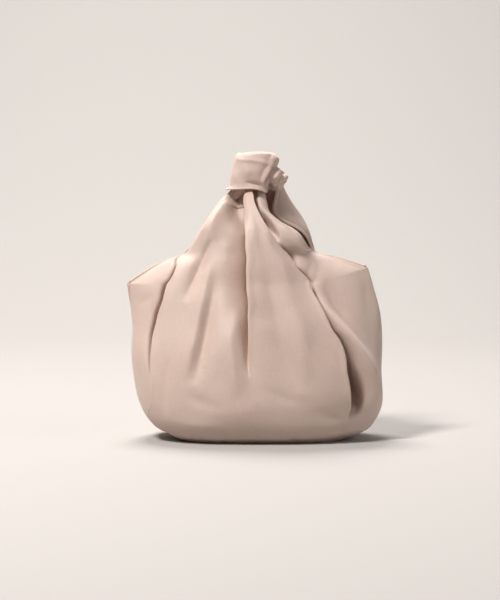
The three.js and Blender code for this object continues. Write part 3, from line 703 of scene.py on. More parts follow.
# %% Outer panels
PANEL_THICK = 0.8
panels = {}
for name, panel, finder, pleats, strokes, between, seed in [
    ("front", FRONT, front_finder, FRONT_PLEATS, FRONT_STROKES, (34, 62, 30, 56), 11),
    ("back", BACK, back_finder, BACK_PLEATS, BACK_STROKES, (44, 54, 54, 44), 23),
]:
    points, u, v, off, cloth = folded_points(panel, finder, pleats, strokes, between, seed)
    uv = np.stack([np.broadcast_to(cloth, u.shape), CLOTH_LENGTH * v], axis=-1)
    piece = mesh_object(f"{name}_panel_cloth", points, grid_faces(*u.shape, panel["facing"] > 0), uv)
    thicken(piece, PANEL_THICK)
    panels[name] = dict(piece=piece, points=points, u=u, v=v, off=off, panel=panel)
    print(name, "panel", u.shape[0], "rows", u.shape[1], "columns")

# %% [markdown]
# The lining. In the real bag it is a second pouch of smooth cloth, sewn in along the
# mouth. A copy of each panel, moved inwards, would cross itself in the pleats. So the
# lining is a smoother sheet that stays clear of the deepest pockets of the folds and
# comes out to the hem along the mouth.

# %% Points of the lining
LINING_CLEAR, LINING_AT_HEM = 1.9, 1.0
LINING_COLUMNS, LINING_ROWS = 110, 90
LINING_FROM, LINING_TO = 0.012, 0.985


def widened(deepest, by):
    """The deepest place within some columns on each side, for each column."""
    padded = np.pad(deepest, by, mode="edge")
    count = deepest.shape[1]
    return np.min([padded[by:-by, k:k + count] for k in range(2 * by + 1)], axis=0)


def evened(deepest, by):
    """The mean over some rows above and below, for each row."""
    padded = np.pad(deepest, by, mode="edge")
    count = deepest.shape[0]
    return np.mean([padded[k:k + count, by:-by] for k in range(2 * by + 1)], axis=0)


def lining_points(data):
    panel, u, off = data["panel"], data["u"], data["off"]
    deepest = np.zeros((u.shape[0], LINING_COLUMNS + 1))
    for j in range(u.shape[0]):
        place = ((u[j] + 1) / 2 * LINING_COLUMNS).round().astype(int)
        np.minimum.at(deepest[j], np.clip(place, 0, LINING_COLUMNS), off[j])
    for _ in range(3):
        deepest = evened(widened(deepest, 2), 3)
    v = np.linspace(LINING_FROM, LINING_TO, LINING_ROWS + 1)
    rows = np.clip((v * (u.shape[0] - 1)).round().astype(int), 0, u.shape[0] - 1)
    inner = np.minimum(deepest[rows], 0) - LINING_CLEAR
    grid_u, grid_v = np.meshgrid(np.linspace(-1, 1, LINING_COLUMNS + 1), v)
    edge = np.clip((1 - np.abs(grid_u)) / 0.06, 0, 1)
    inner = mix(-LINING_AT_HEM, inner, edge)
    inner += soft_noise(grid_u * 9, grid_v * 5, 41) * 0.6 * edge - 0.6 * edge
    return off_face(panel, grid_u, grid_v, inner), grid_u, grid_v, inner


print("lining at least", LINING_CLEAR, "mm inside the folds")

# %% Linings
LINING_THICK = 0.5
for name, data in panels.items():
    points, u, v, inner = lining_points(data)
    uv = np.stack([u * CLOTH_HALF_WIDTH, v * CLOTH_LENGTH], axis=-1)
    faces = grid_faces(*u.shape, data["panel"]["facing"] > 0)
    data["lining"] = mesh_object(f"{name}_lining_cloth", points, faces, uv)
    thicken(data["lining"], LINING_THICK)
    print(name, "lining hangs up to", round(-inner.min(), 1), "mm inside the plain face")

# %% [markdown]
# The hems. At the mouth the satin is turned over its lining and sewn down, which leaves a
# rounded, slightly thicker edge from the side seam to the knot. A bevel on the panel's
# edge would look alike but would not be a piece of its own. A tube of an oval section,
# led along the panel's last column of points, follows every fold of the edge.

# %% A tube along an edge
def tube(path, out, normal, wide, thick, sides=12):
    """A closed tube of an oval section along a path: points and faces."""
    turn = np.linspace(0, 2 * np.pi, sides, endpoint=False)
    wide, thick = np.broadcast_to(wide, len(path)), np.broadcast_to(thick, len(path))
    rings = (path[:, None] + out[:, None] * (np.cos(turn)[None, :, None] * wide[:, None, None] / 2)
             + normal[:, None] * (np.sin(turn)[None, :, None] * thick[:, None, None] / 2))
    points = rings.reshape(-1, 3)
    faces = grid_faces(len(path), sides, False, closed=True).tolist()
    points = np.concatenate([points, path[:1], path[-1:]])
    last = (len(path) - 1) * sides
    for i in range(sides):
        k = (i + 1) % sides
        faces.append([k, i, len(points) - 2])
        faces.append([last + i, last + k, len(points) - 1])
    return points, faces


def square_to(vectors, run):
    """Vectors turned square to a run, each one unit long."""
    return unit(vectors - (vectors * run).sum(axis=-1, keepdims=True) * run)


def frames_along(path, surface_normal, inside):
    """Directions at each point of an edge: out of the cloth, and square to its face."""
    run = unit(np.gradient(path, axis=0))
    normal = square_to(surface_normal, run)
    out = np.cross(run, normal)
    out *= np.sign((out * (path - inside)).sum(axis=1, keepdims=True))
    return out, normal


def fix_winding(piece):
    """Turns a closed piece's faces outwards."""
    shape = bmesh.new()
    shape.from_mesh(piece.data)
    bmesh.ops.recalc_face_normals(shape, faces=shape.faces)
    shape.to_mesh(piece.data)
    shape.free()
    return piece


ring = tube(np.eye(3)[:2], np.eye(3)[:2], np.eye(3)[1:], 1, 1)
print("a tube of two rings has", len(ring[0]), "points and", len(ring[1]), "faces")

# %% Hems and the lines that their stitches follow
HEM_WIDTH, HEM_THICK = 2.0, 2.0
HEM_SUNK, HEM_OUT = 0.9, 0.35
HEM_MORE = {("back", "right"): 1.6}
HEM_END = 0.955
STITCH_INSET, STITCH_PROUD = 2.6, 0.28
hems, stitch_paths = {}, {"front": [], "back": []}
first, last = int(round(CORNER_AT * PANEL_ROWS)) + 1, int(HEM_END * PANEL_ROWS)
rows = np.arange(first, last)
for name, data in panels.items():
    points, panel = data["points"], data["panel"]
    for side, column, inner_column, u in (("left", 0, 12, -0.999), ("right", -1, -13, 0.999)):
        path, inside = points[rows, column], points[rows, inner_column]
        normals = plain_normal(panel, np.full(len(rows), u), data["v"][rows, 0])
        out, normal = frames_along(path, normals, inside)
        centre = path - normal * HEM_SUNK + out * HEM_OUT
        wide = HEM_WIDTH + HEM_MORE.get((name, side), 0)
        hem = mesh_object(f"{name}_{side}_hem", *tube(centre, out, normal, wide, HEM_THICK))
        hems[(name, side)] = fix_winding(hem)
        stitch_paths[name].append(path - out * STITCH_INSET + normal * STITCH_PROUD)
        length = np.linalg.norm(np.diff(path, axis=0), axis=1).sum()
        print(name, side, "hem", round(length), "mm long")

# %% [markdown]
# Building node trees. Materials, the world and Geometry Nodes are all trees of nodes with
# links between their sockets. They could be wired in Blender's editor; a script is easier
# to read and to repeat, and this small helper keeps it short.

# %% A helper for node trees
class Nodes:
    """Adds nodes to a tree; an input is given as a value or as another node's output."""

    def __init__(self, tree):
        self.tree = tree
        tree.nodes.clear()

    def add(self, kind, inputs=(), **settings):
        node = self.tree.nodes.new(kind)
        for setting, value in settings.items():
            setattr(node, setting, value)
        for socket, value in dict(inputs).items():
            if isinstance(value, bpy.types.NodeSocket):
                self.tree.links.new(value, node.inputs[socket])
            else:
                node.inputs[socket].default_value = value
        return node

    def noise(self, vector, scale, detail=2.0, roughness=0.5):
        return self.add("ShaderNodeTexNoise", {
            "Vector": vector, "Scale": scale,
            "Detail": detail, "Roughness": roughness}).outputs["Fac"]

    def maths(self, operation, first, second=0.0, third=0.0):
        values = {0: first, 1: second, 2: third}
        return self.add("ShaderNodeMath", values, operation=operation).outputs[0]

    def spread(self, value, low, high):
        """Stretches what lies between low and high to the range from 0 to 1."""
        values = {"Value": value, "From Min": low, "From Max": high}
        return self.add("ShaderNodeMapRange", values).outputs["Result"]

    def colour_mix(self, share, first, second):
        return self.add("ShaderNodeMix", {0: share, 6: first, 7: second}, data_type="RGBA").outputs[2]


def new_material(name):
    material = bpy.data.materials.new(name)
    material.use_nodes = True
    return material, Nodes(material.node_tree)


print("node helpers", [name for name in vars(Nodes) if not name.startswith("_")])

# %% [markdown]
# The topstitching. Along the mouth a row of thread holds the hem, in short stitches of
# nearly even length. They could be an image on the cloth, or copies made by an Array
# modifier along a curve. Geometry Nodes set one small thread mesh along each line, with a
# pitch, a length, an unevenness and a seed that can be changed, and leave a real mesh.

# %% One stitch of thread
THREAD_ALONG = (-0.5, -0.42, -0.2, 0.2, 0.42, 0.5)
THREAD_WIDE = (0.08, 0.2, 0.26, 0.26, 0.2, 0.08)
THREAD_THICK = (0.08, 0.16, 0.2, 0.2, 0.16, 0.08)


def thread_object():
    """A stitch one unit long and thickest in its middle."""
    path = np.array([[x, 0.0, 0.0] for x in THREAD_ALONG])
    out, normal = np.tile([0.0, 1.0, 0.0], (6, 1)), np.tile([0.0, 0.0, 1.0], (6, 1))
    points, faces = tube(path, out, normal, np.array(THREAD_WIDE), np.array(THREAD_THICK), sides=6)
    mesh = bpy.data.meshes.new("thread")
    mesh.from_pydata(points.tolist(), [], faces)
    return bpy.data.objects.new("thread", mesh)


print("a stitch is", max(THREAD_WIDE), "of its length wide")

# %% The Geometry Nodes of a row of stitches
def stitch_tree(thread, material):
    """The node group, and the identifiers of its inputs by their names."""
    tree = bpy.data.node_groups.new("Topstitch", "GeometryNodeTree")
    sockets = {}
    kinds = dict(Geometry="Geometry", Pitch="Float", Length="Float", Unevenness="Float", Seed="Int")
    for label, kind in kinds.items():
        socket = tree.interface.new_socket(label, in_out="INPUT", socket_type=f"NodeSocket{kind}")
        sockets[label] = socket.identifier
    tree.interface.new_socket("Geometry", in_out="OUTPUT", socket_type="NodeSocketGeometry")
    nodes = Nodes(tree)
    given = nodes.add("NodeGroupInput").outputs
    line = nodes.add("GeometryNodeResampleCurve", {"Curve": given["Geometry"]}, mode="LENGTH")
    tree.links.new(given["Pitch"], line.inputs["Length"])
    turn = nodes.add("FunctionNodeAlignRotationToVector", {
        "Vector": nodes.add("GeometryNodeInputTangent").outputs["Tangent"]}, axis="X")
    least = nodes.maths("SUBTRACT", 1.0, given["Unevenness"])
    most = nodes.maths("ADD", 1.0, given["Unevenness"])
    low = nodes.add("ShaderNodeCombineXYZ", dict.fromkeys("XYZ", least)).outputs[0]
    high = nodes.add("ShaderNodeCombineXYZ", dict.fromkeys("XYZ", most)).outputs[0]
    uneven = nodes.add("FunctionNodeRandomValue", {
        0: low, 1: high, "Seed": given["Seed"]}, data_type="FLOAT_VECTOR").outputs[0]
    size = nodes.add("ShaderNodeVectorMath", {
        0: uneven, "Scale": given["Length"]}, operation="SCALE").outputs[0]
    placed = nodes.add("GeometryNodeInstanceOnPoints", {
        "Points": line.outputs["Curve"],
        "Instance": nodes.add("GeometryNodeObjectInfo", {"Object": thread}).outputs["Geometry"],
        "Rotation": turn.outputs["Rotation"], "Scale": size})
    realized = nodes.add("GeometryNodeRealizeInstances", {"Geometry": placed.outputs["Instances"]})
    painted = nodes.add("GeometryNodeSetMaterial", {
        "Geometry": realized.outputs["Geometry"], "Material": material})
    nodes.add("NodeGroupOutput", {"Geometry": painted.outputs["Geometry"]})
    return tree, sockets


print("the tree ends in Realize Instances and Set Material")

# %% A row of stitches as a mesh
STITCH_SETTINGS = dict(Pitch=0.0026, Length=0.002, Unevenness=0.05, Seed=7)


def stitches(name, paths, material):
    """One piece of thread stitches along several lines given in mm."""
    curve = bpy.data.curves.new(f"{name}_lines", "CURVE")
    curve.dimensions = "3D"
    for path in paths:
        spline = curve.splines.new("POLY")
        spline.points.add(len(path) - 1)
        places = np.concatenate([path * MM, np.ones((len(path), 1))], axis=1)
        spline.points.foreach_set("co", places.ravel())
    lines = bpy.data.objects.new(f"{name}_lines", curve)
    bpy.context.scene.collection.objects.link(lines)
    thread = thread_object()
    tree, sockets = stitch_tree(thread, material)
    modifier = lines.modifiers.new("stitches", "NODES")
    modifier.node_group = tree
    for label, value in STITCH_SETTINGS.items():
        modifier[sockets[label]] = value
    evaluated = lines.evaluated_get(bpy.context.evaluated_depsgraph_get())
    mesh = bpy.data.meshes.new_from_object(evaluated)
    mesh.name = name
    piece = bpy.data.objects.new(name, mesh)
    bpy.context.scene.collection.objects.link(piece)
    bpy.data.objects.remove(lines)
    bpy.data.objects.remove(thread)
    bpy.data.node_groups.remove(tree)
    return piece


print("stitches are set by", STITCH_SETTINGS)

# %% [markdown]
# The base. A boxed pouch stands on a flat piece of satin, joined all round to the foot of
# both panels, with its lining over it. One large face would do for a flat plate. Rings of
# faces that follow the foot's outline let the cloth wave a little, as it does in life.

# %% Base and its lining
BASE_THICK = 0.9
BASE_RINGS = 24


def base_disc(name, level, inset, flip):
    """A disc at a level, inside the panels' lower edge by an inset, both in mm."""
    rims = []
    for panel, ends in ((FRONT, (-1, 1)), (BACK, (1, -1))):
        u = np.linspace(*ends, 96, endpoint=False)
        rims.append(plain_point(panel, u, np.zeros_like(u)))
    rim = np.concatenate(rims)
    middle = np.array([(BASE_RIGHT - BASE_LEFT) / 2, 0.0, 0.0])
    away = rim - middle
    length = np.linalg.norm(away, axis=1, keepdims=True)
    points = [middle + [0, 0, level]]
    for ring in range(1, BASE_RINGS + 1):
        share = ring / BASE_RINGS
        place = middle + away / length * (length - inset) * share
        wave = soft_noise(place[:, 0] / 26, place[:, 1] / 22, 77) * 0.25 * (1 - share ** 6)
        place[:, 2] = level + np.abs(wave)
        points.extend(place)
    count = len(rim)
    faces = [[0, 1 + i, 1 + (i + 1) % count] for i in range(count)]
    for ring in range(BASE_RINGS - 1):
        for i in range(count):
            a, b = 1 + ring * count + i, 1 + ring * count + (i + 1) % count
            faces.append([a, a + count, b + count, b])
    points = np.array(points)
    faces = [face[::-1] for face in faces] if flip else faces
    print(name, len(points), "points, at", level, "mm")
    return thicken(mesh_object(name, points, faces, points[:, :2]), BASE_THICK)


base_cloth = base_disc("base_panel_cloth", level=0.15, inset=0.5, flip=True)
base_lining = base_disc("base_lining_cloth", level=2.6, inset=2.2, flip=False)

# %% [markdown]
# The knot's band. One ear is brought round the other's neck and closes it like a sleeve,
# with a rolled hem below and a soft edge above. Real knots can be tied with a curve and a
# bevel, but this one shows as a flat, wide wrap. So it is a closed surface round the
# neck, which gets folds of the same kinds as the panels.

# %% The band's plain face
BAND_HALF_WIDTH, BAND_HALF_DEPTH = 20.2, 13.4
KNOT_TOP = 269.5
BAND_ROWS = 70


def band_surface(u, v):
    """The band's plain face: u runs all round it, v from its hem over its top edge."""
    power = lambda number, exponent: np.sign(number) * np.abs(number) ** exponent
    turn = np.radians(u * 180)
    right = np.clip(np.sin(turn), 0, 1)
    left = np.clip(-np.sin(turn), 0, 1)
    front = np.clip(np.cos(turn), 0, 1)
    stops = [0, 0.06, 0.2, 0.45, 0.7, 0.82, 0.92, 1]
    up = smooth(stops, [0, 1.5, 6.2, 15.5, 25, 29, 31.2, 29.8], v)
    out = smooth(stops, [1.04, 0.98, 0.95, 0.985, 1.0, 0.97, 0.84, 0.6], v)
    taper = smooth(stops, [0.2, 0.17, 0.12, 0.02, -0.08, 0.07, 0.17, 0.15], v)
    # Its hem dips at the right, under the strip of the ear that joins it there.
    dip = right ** 2 * front ** 0.5 * 2
    hem = -1.3 - left - 2 * right - 2 * dip
    x = (FRONT_NECK["x"] + 0.6 + KNOT_LEAN * up / KNOT_HEIGHT
         + BAND_HALF_WIDTH * out * power(np.sin(turn), 0.72) * (1 - taper * right))
    y = FRONT_NECK["y"] - BAND_HALF_DEPTH * out * power(np.cos(turn), 0.8) * (1 - 0.5 * taper * dip)
    share = up / KNOT_HEIGHT
    z = KNOT_FOOT + up + hem * (1 - v) ** 2 - left ** 1.5 * 0.3 * share ** 2
    lip = left * np.exp(-((v / 0.05) ** 2)) * 1.6
    return np.stack([x - lip, y, z], axis=-1)


BAND = dict(facing=-1, surface=band_surface)
band_finder = Finder(BAND, to_picture)

print("the band stands on the front's neck at",
      band_surface(np.array(0.0), np.array(0.0)).round(1), "mm")

# %% The band's folds
# The first two kinds are in the picture's pixels, the third in x and z in millimetres.

BAND_PLEATS = [
    dict(name="edge", side=-1, top=0.42, foot=0.40, stops=[
        (276, 158, 0, 0.5, 0, 2), (273, 166, 5, 1.3, 0.3, 2.8), (268.5, 174, 7, 1.5, 0.5, 3),
        (264.5, 182, 5, 1.2, 0.4, 2.4)]),
]
BAND_STROKES = [
    [(234, 158, 2, 0), (240, 159.5, 2.2, 0.9), (254, 160.5, 2.4, 1.1), (266, 163, 2.4, 1),
     (270, 167, 3, 0)],
    [(274, 151, 3.4, -0.4), (270.5, 156, 3.4, -1.2), (268, 164, 3.2, -0.9), (265, 169, 3.2, -1.3),
     (262, 176, 3.2, -1.3), (260.5, 183, 3, 0)],
    [(273, 160, 3, 0), (269, 171, 3.2, 0.8), (265.5, 181, 3.2, 0.6), (264, 188, 3, 0)],
    [(244, 182.5, 2, 0), (251, 183, 2, -2), (258, 184.5, 2.2, -2.6), (263, 188, 2.4, -0.8),
     (265, 192, 2, 0)],
    [(236, 168, 4, 0), (235, 176, 4, 0.9), (236, 186, 4, 0)],
    [(252, 164, 5, 0), (248, 172, 6, 1.1), (247, 180, 5, 0)],
]

BAND_BACK_STROKES = [
    [(-20, 244, 3, 0), (-8, 250, 3.5, -2), (8, 260, 3.5, -2.2), (18, 266, 3, 0)],
    [(-22, 256, 3, 0), (-8, 261, 4, 1.5), (6, 266, 4, 0)],
    [(18, 244, 3, 0), (8, 248, 4, 1.6), (-4, 247, 4, 0)],
]
print("the band has", len(BAND_PLEATS), "pleat and",
      len(BAND_STROKES) + len(BAND_BACK_STROKES), "soft folds")

# %% The band
BAND_THICK = 1.0
BAND_CLOTH_HEIGHT = 45
BAND_BETWEEN = (84, 44)


def closed_relief(u, v, seed, around, amount):
    """Soft noise that joins up where a surface closes on itself."""
    turn = np.pi * u
    return soft_noise(np.cos(turn) * around + 20, np.sin(turn) * around + 5 * v + 20, seed) * amount


u, v, off, cloth = folded_grid(BAND, band_finder, BAND_PLEATS, BAND_BETWEEN, BAND_ROWS)
plain = plain_point(BAND, u, v)
off += relief(BAND, band_finder, BAND_STROKES, plain) * facing_share(BAND, u, v)
behind = np.clip((turned(BAND, u, v) - 95) / 20, 0, 1)
for stroke in BAND_BACK_STROKES:
    off += stroke_relief(plain[..., [0, 2]], stroke) * behind
off += closed_relief(u, v, 5, 2.2, 0.55) + closed_relief(u, v, 6, 4.5, 0.25)
band_grid = plain + plain_normal(BAND, u, v) * off[..., None]
band_grid[:, -1] = band_grid[:, 0]
uv = np.stack([np.broadcast_to(cloth, u.shape), v * BAND_CLOTH_HEIGHT], axis=-1)
band = mesh_object("knot_band_cloth", band_grid, grid_faces(*u.shape, False), uv)
thicken(band, BAND_THICK)
print("band", u.shape[0], "rows", u.shape[1], "columns, top at", band_grid[..., 2].max().round(1), "mm")

# %% The band's rolled hem
BAND_HEM_THICK = 1.7
centre_line = band_grid[0]
out, normal = frames_along(centre_line, plain_normal(BAND, u[0], v[0]), band_grid[6])
centre_line = centre_line - normal * BAND_THICK / 2
band_hem = fix_winding(mesh_object(
    "knot_band_hem", *tube(centre_line, out, normal, BAND_HEM_THICK, BAND_HEM_THICK, sides=10)))
print("rolled hem", len(centre_line), "rings")

# %% [markdown]
# The front ear's end. It is folded together inside the band and shows on the knot's top
# as a low mound with a few soft folds. It could be a flattened ball; a disc whose height
# waves as it goes round looks more like cloth pushed into a sleeve.

# %% The front ear's end
EAR_THICK = 0.9
EAR_TIP_HALF_WIDTH, EAR_TIP_HALF_DEPTH = 14.2, 8.6
EAR_TIP_CLOTH = (40, 20)


def ear_tip_surface(u, v):
    """A disc over the band's top: u runs round it, v from its middle to its rim."""
    out = mix(0.02, 1.0, np.sqrt(np.clip(1 - (1 - v) ** 2, 0, 1)))
    turn = np.radians(u * 180)
    lobes = 1 + 0.07 * np.cos(3 * turn + 5 * v) * v
    x = FRONT_NECK["x"] + 0.6 + KNOT_LEAN * 0.9 + EAR_TIP_HALF_WIDTH * out * lobes * np.sin(turn)
    y = FRONT_NECK["y"] - EAR_TIP_HALF_DEPTH * out * lobes * np.cos(turn)
    waves = 1.5 * np.sin(2 * turn + 7 * v) * v * (1 - v) * 2
    groove = 1.6 * np.exp(-((np.sin(turn - 1.9 * v) / 0.22) ** 2)) * v
    z = KNOT_TOP - 0.4 - 5.0 * v ** 2.2 + (waves - groove)
    return np.stack([x, y, z], axis=-1)


u, v = np.meshgrid(np.linspace(-1, 1, 97), np.linspace(0, 1, 31))
points = ear_tip_surface(u, v)
uv = np.stack([u * EAR_TIP_CLOTH[0], v * EAR_TIP_CLOTH[1]], axis=-1)
ear_tip = mesh_object("front_ear_tip", points, grid_faces(*u.shape, False), uv)
ear_tip.data.validate()
thicken(ear_tip, EAR_THICK)
print("the ear's end reaches", points[..., 2].max().round(1), "mm")

# %% [markdown]
# The back ear's end is gathered into a thick strand that comes up out of the ear's neck
# and turns forward into the band. A bevelled curve would give it one round section all
# the way. Here the section changes along the path, and strokes press the gathers into it.

# %% The twist's path and its plain face
TWIST = np.array([
    # x, y and z of its middle, half its breadth and half its depth
    (17.0, 15.0, 234.0, 8.4, 5.2),
    (17.2, 14.8, 240.4, 9.2, 6.0),
    (18.6, 10.6, 243.0, 9.2, 6.2),
    (21.5, 5.0, 240.8, 9.0, 7.2),
    (22.0, -3.5, 244.2, 8.4, 8.0),
    (16.5, -7.0, 249.0, 7.6, 7.6),
    (10.5, -8.5, 254.0, 6.2, 6.0),
])
TWIST_AT = [0, 0.16, 0.28, 0.43, 0.63, 0.82, 1]
TWIST_ACROSS = np.array([0.9, 0.1, 0.45])


def twist_surface(u, v):
    """The gathered end's plain face; u is 0 along the side that is seen from the front."""
    middle = np.stack([smooth(TWIST_AT, TWIST[:, k], v) for k in range(3)], axis=-1)
    breadth, depth = (smooth(TWIST_AT, TWIST[:, k], v) for k in (3, 4))
    ahead, behind = (
        np.stack([smooth(TWIST_AT, TWIST[:, k], at) for k in range(3)], axis=-1)
        for at in (np.minimum(v + 0.01, 1), np.maximum(v - 0.01, 0)))
    run = unit(ahead - behind)
    across = square_to(TWIST_ACROSS, run)
    front = np.cross(across, run)
    turn = np.radians(u * 180)
    lobes = 1 + 0.05 * np.cos(3 * turn + 2 * v + 0.6)
    return (middle + across * (np.sin(turn) * breadth * lobes)[..., None]
            + front * (np.cos(turn) * depth * lobes)[..., None])


TWIST_FACE = dict(facing=-1, surface=twist_surface)
twist_finder = Finder(TWIST_FACE, to_picture)
print("the twist's path is",
      np.linalg.norm(np.diff(TWIST[:, :3], axis=0), axis=1).sum().round(1), "mm long")

# %% The twist's gathers, in the picture's pixels
TWIST_STROKES = [
    [(280.6, 164, 1.4, 0), (282.8, 168, 1.6, -2.2), (283.8, 172.5, 1.6, -3), (281.5, 177.4, 1.7, -3),
     (276, 182, 1.8, -2)],
    [(279, 166, 2.8, 0), (279.5, 171, 3.2, 1.5), (275.5, 178, 3.2, 1.4), (272, 183, 2.8, 0)],
    [(274, 182.5, 1.4, -0.8), (280, 181.2, 1.6, -1.6), (288, 180, 1.6, -1.2)],
    [(285, 173, 2.4, 0), (286.5, 177, 2.6, 1.2), (284, 179.5, 2.2, 0)],
    [(276, 187, 2.2, -3), (281, 185.5, 2.4, -6), (285, 183.5, 2.2, -3)],
    [(275, 189.6, 1.5, 0.5), (280, 190.5, 1.6, 0.9), (285, 188.5, 1.5, 0.4)],
]

# Two grooves along the side that isn't seen: their place, half breadth and depth.
TWIST_GROOVES = ((0.72, 0.035, 1.6), (0.88, 0.03, 1.2))
TWIST_CLOTH = (25, 45)
u, v = np.meshgrid(np.linspace(-1, 1, 121), np.linspace(0, 1, 71))
plain = plain_point(TWIST_FACE, u, v)
turn = 180 * np.abs(u)
off = relief(TWIST_FACE, twist_finder, TWIST_STROKES, plain) * np.clip((100 - turn) / 15, 0, 1)
hidden = np.clip((turn - 95) / 15, 0, 1)
off -= hidden * sum(
    depth * np.exp(-((np.abs(u) - at) / half) ** 2) for at, half, depth in TWIST_GROOVES)
off += closed_relief(u, v, 15, 1.6, 0.5)
twist_grid = plain + plain_normal(TWIST_FACE, u, v) * off[..., None]
twist_grid[:, -1] = twist_grid[:, 0]
uv = np.stack([u * TWIST_CLOTH[0], v * TWIST_CLOTH[1]], axis=-1)
twist = mesh_object("back_ear_twist_cloth", twist_grid, grid_faces(*u.shape, False), uv)
thicken(twist, EAR_THICK)
print("the twist reaches", twist_grid.max(axis=(0, 1)).round(1), "mm")

# %% [markdown]
# The camera. A long lens a little above the bag's middle shows it as the photograph does,
# with little perspective. It could be placed by eye; its place and lens are worked out
# from the same numbers as the pixels above, so that the folds land where they were drawn.

# %% Camera
SENSOR = 36.0

camera_data = bpy.data.cameras.new("camera")
camera_data.lens = SENSOR * VIEW_DISTANCE / (FRAME_HEIGHT * VIEW_SCALE)
camera_data.sensor_width = SENSOR
camera_data.clip_end = 50
camera = bpy.data.objects.new("camera", camera_data)
aim = Vector((VIEW_MIDDLE[0] * MM, 0, VIEW_MIDDLE[1] * MM))
back_off = Vector((0, -math.cos(VIEW_ELEVATION), math.sin(VIEW_ELEVATION))) * VIEW_DISTANCE * MM
camera.location = aim + back_off
camera.rotation_euler = (math.pi / 2 - VIEW_ELEVATION, 0, 0)
bpy.context.scene.collection.objects.link(camera)
bpy.context.scene.camera = camera

print("lens", round(camera_data.lens, 1), "mm, camera at", camera.location)

# %% [markdown]
# The satin: long floats of weft over a fine warp, matte with a soft sheen. A photographed
# texture would do, but it shows its edges and has one scale. This one is made of nodes:
# the weave and its slubs follow the cloth's own map in metres, the colour varies slightly
# from thread to thread, and a bump adds the weave and faint creases.

# %% Colours of the cloths: the middle, the deepest and the palest
SATIN_SHADES = ((0.590, 0.438, 0.368, 1), (0.530, 0.382, 0.316, 1), (0.635, 0.485, 0.418, 1))
LINING_SHADES = ((0.560, 0.385, 0.310, 1), (0.52, 0.35, 0.28, 1), (0.6, 0.42, 0.34, 1))
THREAD_SHADES = ((0.650, 0.455, 0.370, 1), (0.6, 0.41, 0.33, 1), (0.7, 0.5, 0.42, 1))
print("satin", SATIN_SHADES[0][:3])

# %% A woven material
def cloth_material(name, shades, mapped, sheen, roughness, floats, weave_height):
    """A woven cloth; floats are the widths of a warp and a weft thread in mm."""
    colour, deep, pale = shades
    material, nodes = new_material(name)
    if mapped:
        vector = nodes.add("ShaderNodeUVMap", uv_map="cloth").outputs["UV"]
    else:
        vector = nodes.add("ShaderNodeTexCoord").outputs["Object"]
    place = nodes.add("ShaderNodeTexCoord").outputs["Object"]
    split = nodes.add("ShaderNodeSeparateXYZ", {"Vector": vector})
    warp_turn = nodes.maths("MULTIPLY", split.outputs["X"], 2 * math.pi / (floats[0] * MM))
    warp = nodes.maths("SINE", warp_turn)
    weft_turn = nodes.maths("MULTIPLY", split.outputs["Y"], 2 * math.pi / (floats[1] * MM))
    weft = nodes.maths("SINE", nodes.maths("ADD", weft_turn, nodes.maths("MULTIPLY", warp, 0.6)))
    weave = nodes.maths("MULTIPLY_ADD", warp, 0.35, weft)
    slub = nodes.add("ShaderNodeMapping", {"Vector": vector, "Scale": (1, 14, 1)}).outputs["Vector"]
    threads = nodes.noise(slub, 160, 3.0)
    across = nodes.add("ShaderNodeMapping", {"Vector": vector, "Scale": (14, 1, 1)}).outputs["Vector"]
    ends = nodes.noise(across, 120, 3.0)
    creases = nodes.noise(place, 60, 3.0, 0.55)
    patches = nodes.noise(place, 18, 3.0)
    shade = nodes.colour_mix(nodes.spread(patches, 0.3, 0.7), deep, pale)
    shade = nodes.colour_mix(0.45, shade, colour)
    cross = nodes.spread(nodes.maths("ADD", threads, ends), 0.75, 1.25)
    shade = nodes.colour_mix(nodes.maths("MULTIPLY", cross, 0.8), shade, pale)
    height = nodes.maths("MULTIPLY_ADD", weave, weave_height, nodes.maths("MULTIPLY", cross, 0.8))
    fine = nodes.add("ShaderNodeBump", {"Height": height, "Strength": 0.35, "Distance": 0.00012})
    soft = nodes.add("ShaderNodeBump", {
        "Height": creases, "Strength": 0.4, "Distance": 0.0014, "Normal": fine.outputs["Normal"]})
    rough = nodes.maths("MULTIPLY_ADD", threads, 0.12, roughness - 0.06)
    shader = nodes.add("ShaderNodeBsdfPrincipled", {
        "Base Color": shade, "Roughness": rough, "Normal": soft.outputs["Normal"],
        "Specular IOR Level": 0.75,
        "Sheen Weight": sheen, "Sheen Roughness": 0.45, "Sheen Tint": (1.0, 0.92, 0.87, 1)})
    nodes.add("ShaderNodeOutputMaterial", {"Surface": shader.outputs["BSDF"]})
    print(name, "has", len(nodes.tree.nodes), "nodes")
    return material


satin = cloth_material("satin", SATIN_SHADES, mapped=True, sheen=0.25, roughness=0.58,
                       floats=(0.32, 0.44), weave_height=1.0)
satin_edge = cloth_material("satin_edge", SATIN_SHADES, mapped=False, sheen=0.25, roughness=0.58,
                            floats=(0.4, 0.5), weave_height=0.7)
lining_cloth = cloth_material("lining_cloth", LINING_SHADES, mapped=True, sheen=0.1, roughness=0.65,
                              floats=(0.5, 0.5), weave_height=1.2)
thread_dye = cloth_material("thread", THREAD_SHADES, mapped=False, sheen=0.2, roughness=0.5,
                            floats=(0.3, 0.3), weave_height=0.5)

# %% Stitching, and the cloth on every piece
stitching = {
    name: stitches(f"{name}_topstitching", paths, thread_dye) for name, paths in stitch_paths.items()}
satin_pieces = [data["piece"] for data in panels.values()] + list(hems.values())
satin_pieces += [base_cloth, band, band_hem, ear_tip, twist]
for piece in satin_pieces:
    piece.data.materials.append(satin if piece.data.uv_layers else satin_edge)
lining_pieces = [data["lining"] for data in panels.values()] + [base_lining]
for piece in lining_pieces:
    piece.data.materials.append(lining_cloth)
for name, piece in stitching.items():
    print(name, "topstitching", len(piece.data.polygons), "faces")

# %% [markdown]
# The studio. The photograph shows the bag on pale paper that curves up behind it with no
# horizon. A floor and a wall would show a line between them. One sheet, bent through a
# quarter circle, gives the same soft change. It is the stage and not part of the bag.

